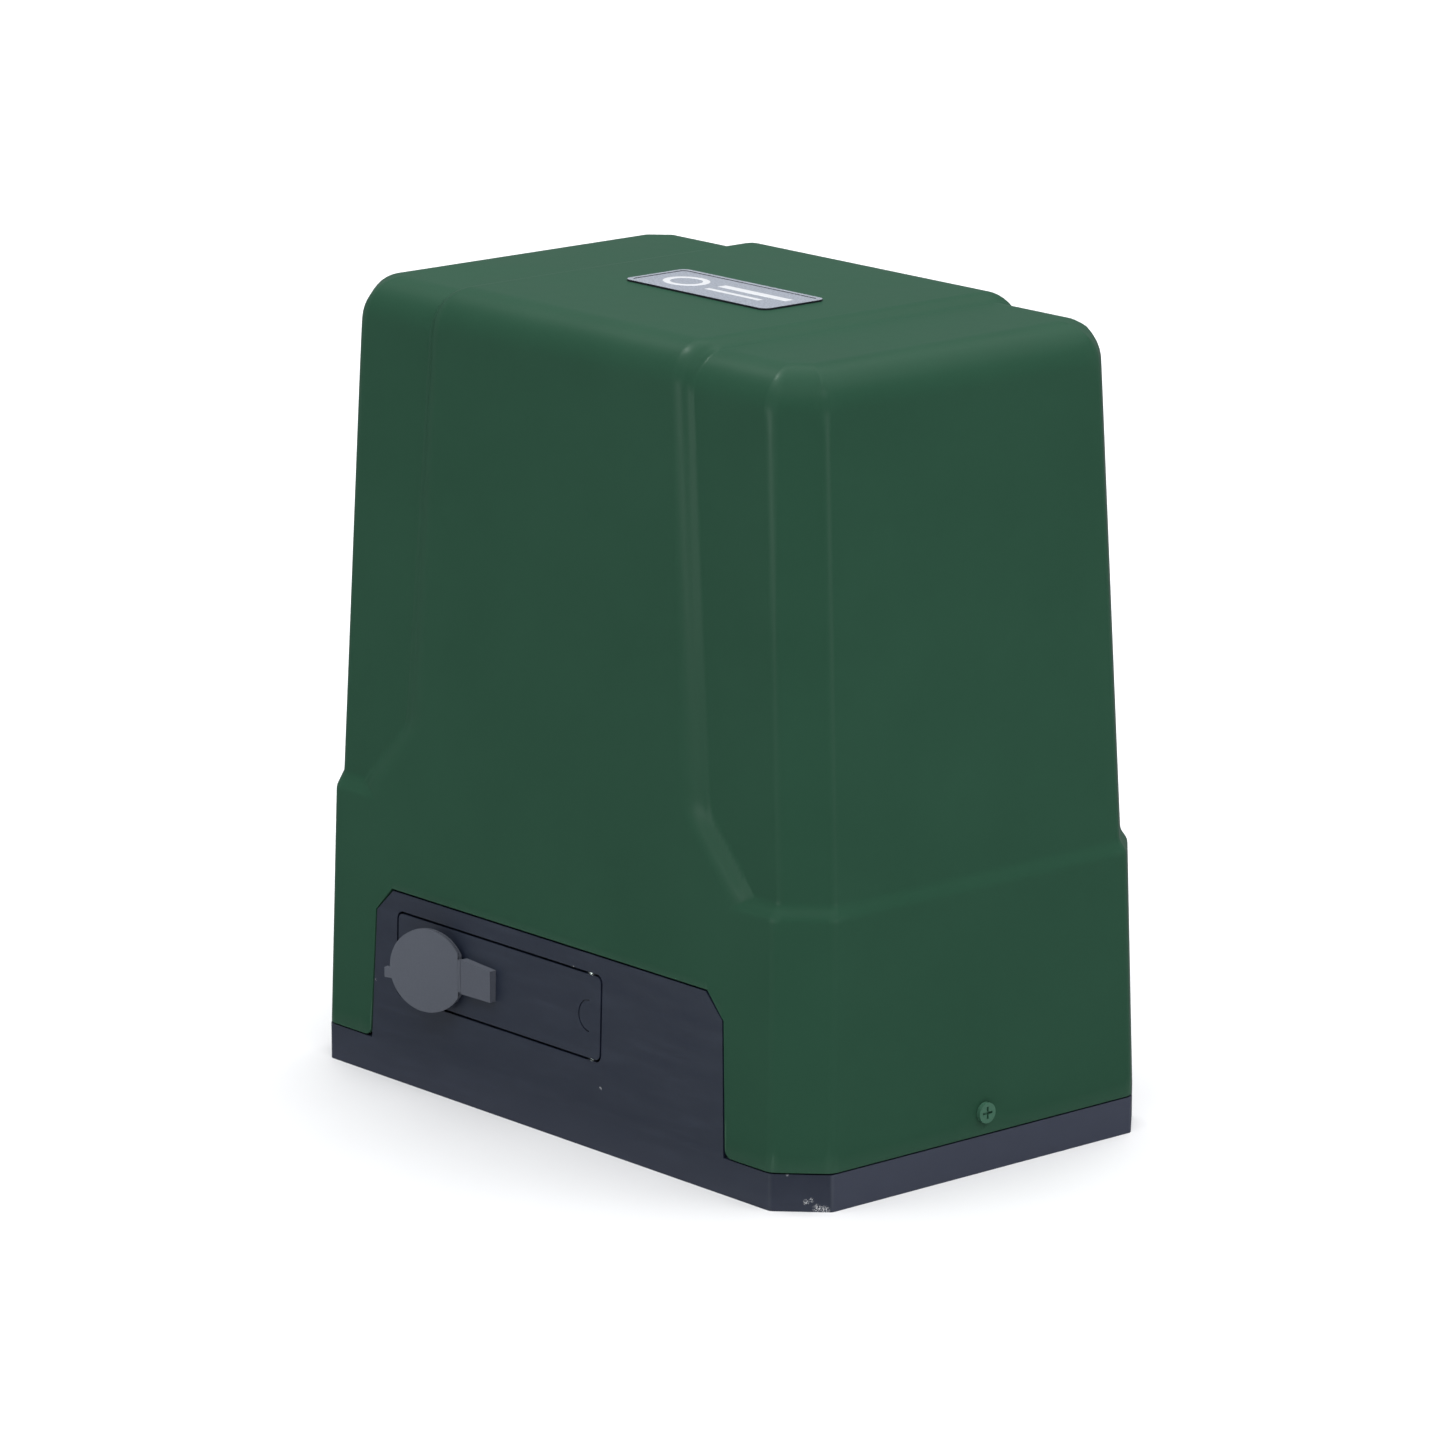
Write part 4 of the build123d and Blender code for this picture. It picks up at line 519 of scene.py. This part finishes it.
def dress(piece, look):
    """Give every material slot of a piece the same look."""
    if not piece.material_slots:
        piece.data.materials.append(LOOKS[look])
    for held in piece.material_slots:
        held.material = LOOKS[look]


for node_name, node in frame["nodes"].items():
    dress(node, NODE_SLOT[node_name])


def soften(piece, width, angle=35.0, segments=2):
    """Round a CAD piece's sharp edges with a small bevel."""
    flatten = piece.modifiers.new("one_face_per_flat", "DECIMATE")
    flatten.decimate_type = "DISSOLVE"
    flatten.angle_limit = math.radians(0.4)
    bevel = piece.modifiers.new("edge_round", "BEVEL")
    bevel.width = width * MM
    bevel.segments = segments
    bevel.limit_method = "ANGLE"
    bevel.angle_limit = math.radians(angle)
    bevel.harden_normals = False
    bevel.use_clamp_overlap = True
    normals = piece.modifiers.new("face_normals", "WEIGHTED_NORMAL")
    normals.keep_sharp = True
    normals.weight = 100


# ---------------------------------------------------------------------- cover
PANEL_GAP = 0.8
PANEL_SHAPE = ((105.3, 14.3), (103.0, 66.7), (93.3, 76.0))
FOOT_ROUND = 3.5            # rounding of the cover's lower corners beside each panel
FOOT_STEPS = 6
CUTTER_LOW = 5.0
CUTTER_REACH = 130.0
SCREW_HOLE_R = 2.4
SCREW_HOLE_Z = 23.5
SCREW_HOLE_LENGTH = 360.0
RIM_ROUND = 0.5
RIM_ANGLE = 50.0
SMOOTH_ANGLE = 40.0


def panel_cutter():
    """Block that cuts both panel openings through the cover's skirt."""
    low, bend, top = PANEL_SHAPE
    foot = COVER_BOTTOM + FOOT_ROUND
    corners = [(low[0] + PANEL_GAP + FOOT_ROUND, CUTTER_LOW)]
    for step in range(FOOT_STEPS + 1):
        turn = math.pi / 2 * step / FOOT_STEPS
        corners.append((low[0] + PANEL_GAP + FOOT_ROUND * (1 - math.sin(turn)),
                        foot - FOOT_ROUND * math.cos(turn)))
    corners += [(bend[0] + PANEL_GAP, bend[1]), (top[0] + PANEL_GAP, top[1] + PANEL_GAP)]
    outline = corners + [(-x, z) for x, z in reversed(corners)]
    mesh = bmesh.new()
    rings = [[mesh.verts.new(Vector((x, y, z)) * MM) for x, z in outline]
             for y in (-CUTTER_REACH, CUTTER_REACH)]
    count = len(outline)
    for k in range(count):
        n = (k + 1) % count
        mesh.faces.new((rings[0][k], rings[0][n], rings[1][n], rings[1][k]))
    mesh.faces.new(rings[0])
    mesh.faces.new(rings[1])
    bmesh.ops.recalc_face_normals(mesh, faces=mesh.faces)
    return new_object("panel_cutter", mesh)


def keep_modifiers(piece):
    """Turn a piece's modifiers into its own mesh."""
    graph = bpy.context.evaluated_depsgraph_get()
    finished = bpy.data.meshes.new_from_object(piece.evaluated_get(graph))
    piece.modifiers.clear()
    piece.data = finished


def smooth_over(piece, angle):
    """Smooth shading, with edges sharper than the angle left crisp."""
    for face in piece.data.polygons:
        face.use_smooth = True
    piece.data.set_sharp_from_angle(angle=math.radians(angle))


def build_cover():
    """The cover with its two panel openings and its screw holes."""
    cover = make_cover_mesh()
    cutters = [panel_cutter()]
    bpy.ops.mesh.primitive_cylinder_add(radius=SCREW_HOLE_R * MM, depth=SCREW_HOLE_LENGTH * MM,
                                        vertices=32, location=(0, 0, SCREW_HOLE_Z * MM),
                                        rotation=(0, math.pi / 2, 0))
    cutters.append(bpy.context.object)
    for cutter in cutters:
        cut = cover.modifiers.new("cut", "BOOLEAN")
        cut.object = cutter
        cut.operation = "DIFFERENCE"
        cut.solver = "EXACT"
    keep_modifiers(cover)
    for cutter in cutters:
        bpy.data.objects.remove(cutter)
    bevel = cover.modifiers.new("edge_round", "BEVEL")
    bevel.width = RIM_ROUND * MM
    bevel.segments = 2
    bevel.limit_method = "ANGLE"
    bevel.angle_limit = math.radians(RIM_ANGLE)
    keep_modifiers(cover)
    smooth_over(cover, SMOOTH_ANGLE)
    dress(cover, "cover_paint")
    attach(cover, "housing")
    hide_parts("cover")
    return cover


build_cover()


def build_spring():
    """The clutch spring, copied from the CAD coil with its own mesh and fastened to the output body;
    the real spring shortens as the clutch pin is pushed back.
    """
    rest = frame["nodes"]["clutch_spring"]
    spring = bpy.data.objects.new("clutch_spring_coil", rest.data.copy())
    bpy.context.collection.objects.link(spring)
    spring.matrix_world = rest.matrix_world.copy()
    dress(spring, "steel")
    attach(spring, "output")
    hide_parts("clutch_spring")
    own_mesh(spring)
    return spring


build_spring()

# ------------------------------------------------------------ edges of the rest
EDGE_WIDTHS = {                          # bevel of each visible CAD piece, mm
    "base": 0.6, "release_lever": 0.5, "lock_cap": 0.2, "lock_cap_strap": 0.5, "cover_screws": 0.25,
    "drive_pinion": 0.3, "pinion_washer": 0.3, "pinion_bolt": 0.3, "gearbox_housing": 0.8,
    "gearbox_lid": 0.6, "motor_end_cap": 0.8, "blank_name_plate": 0.15,
}
for node_name, width in EDGE_WIDTHS.items():
    soften(frame["nodes"][node_name], width)

# ---------------------------------------------------------------------- camera
AZIMUTH = math.radians(49.1)
ELEVATION = math.radians(14.06)
DISTANCE = 2.9464
LENS = 187.77
AIM_RIGHT = -0.0016         # the frame's centre, from the origin, along the camera's right
AIM_UP = 0.1422             # and along its up

back = Vector((math.sin(AZIMUTH) * math.cos(ELEVATION), -math.cos(AZIMUTH) * math.cos(ELEVATION),
               math.sin(ELEVATION)))
right = Vector((math.cos(AZIMUTH), math.sin(AZIMUTH), 0.0))
up = back.cross(right)
camera_data = bpy.data.cameras.new("photo_camera")
camera_data.lens = LENS
camera_data.sensor_width = 36.0
camera_data.clip_end = 100.0
camera = bpy.data.objects.new("photo_camera", camera_data)
camera.location = right * AIM_RIGHT + up * AIM_UP + back * DISTANCE
camera.rotation_euler = back.to_track_quat("Z", "Y").to_euler()
bpy.context.collection.objects.link(camera)
bpy.context.scene.camera = camera

# ------------------------------------------------------------- floor and lights
SKY_COLOUR = (0.93, 0.96, 1.0, 1.0)
SKY_STRENGTH = 0.29
FLOOR_SIZE = 60.0
SUN_POWER = 4.9
SUN_ANGLE = 100.0
SUN_TILT = (-2.0, 3.0)
GLINT_COLOUR = (0.87, 1.00, 0.92)
GLINT_AIM = (0.1, 0.0, 0.25)
GLINT_SIZE = 0.25
# name, place and power of the small soft boxes that only show in the gloss
GLINT_BOXES = (
    ("front_box", (-0.12, -1.20, 0.22), 7.5),
    ("right_box", (1.30, -0.10, 0.22), 5.5),
    ("high_box", (-0.66, -0.20, 1.55), 16.0),
    ("high_right_box", (1.10, -0.05, 1.20), 4.0),
)

world = bpy.data.worlds.new("soft_studio")
world.use_nodes = True
background = world.node_tree.nodes["Background"]
background.inputs["Color"].default_value = SKY_COLOUR
background.inputs["Strength"].default_value = SKY_STRENGTH
bpy.context.scene.world = world
bpy.context.scene.view_settings.view_transform = "Standard"

bpy.ops.mesh.primitive_plane_add(size=FLOOR_SIZE, location=(0, 0, 0))
floor = bpy.context.object
floor.name = "pale_floor"
floor.data.materials.append(grained("floor_paper", (0.75, 0.75, 0.76), 0.7, 0.0, 300.0, 0.00001, 0.004,
                                    specular=0.1))
floor.visible_glossy = False


def glint_box(name, place, power):
    """Small square soft box pointed at the cover, seen only in its gloss."""
    data = bpy.data.lights.new(name, "AREA")
    data.shape = "SQUARE"
    data.size = GLINT_SIZE
    data.energy = power
    data.color = GLINT_COLOUR
    light = bpy.data.objects.new(name, data)
    light.location = place
    away = Vector(place) - Vector(GLINT_AIM)
    light.rotation_euler = away.to_track_quat("Z", "Y").to_euler()
    light.visible_diffuse = False
    bpy.context.collection.objects.link(light)


sky_data = bpy.data.lights.new("overhead_diffuser", "SUN")
sky_data.energy = SUN_POWER
sky_data.angle = math.radians(SUN_ANGLE)
sky = bpy.data.objects.new("overhead_diffuser", sky_data)
sky.rotation_euler = (math.radians(SUN_TILT[0]), math.radians(SUN_TILT[1]), 0)
bpy.context.collection.objects.link(sky)
for box_name, box_place, box_power in GLINT_BOXES:
    glint_box(box_name, box_place, box_power)
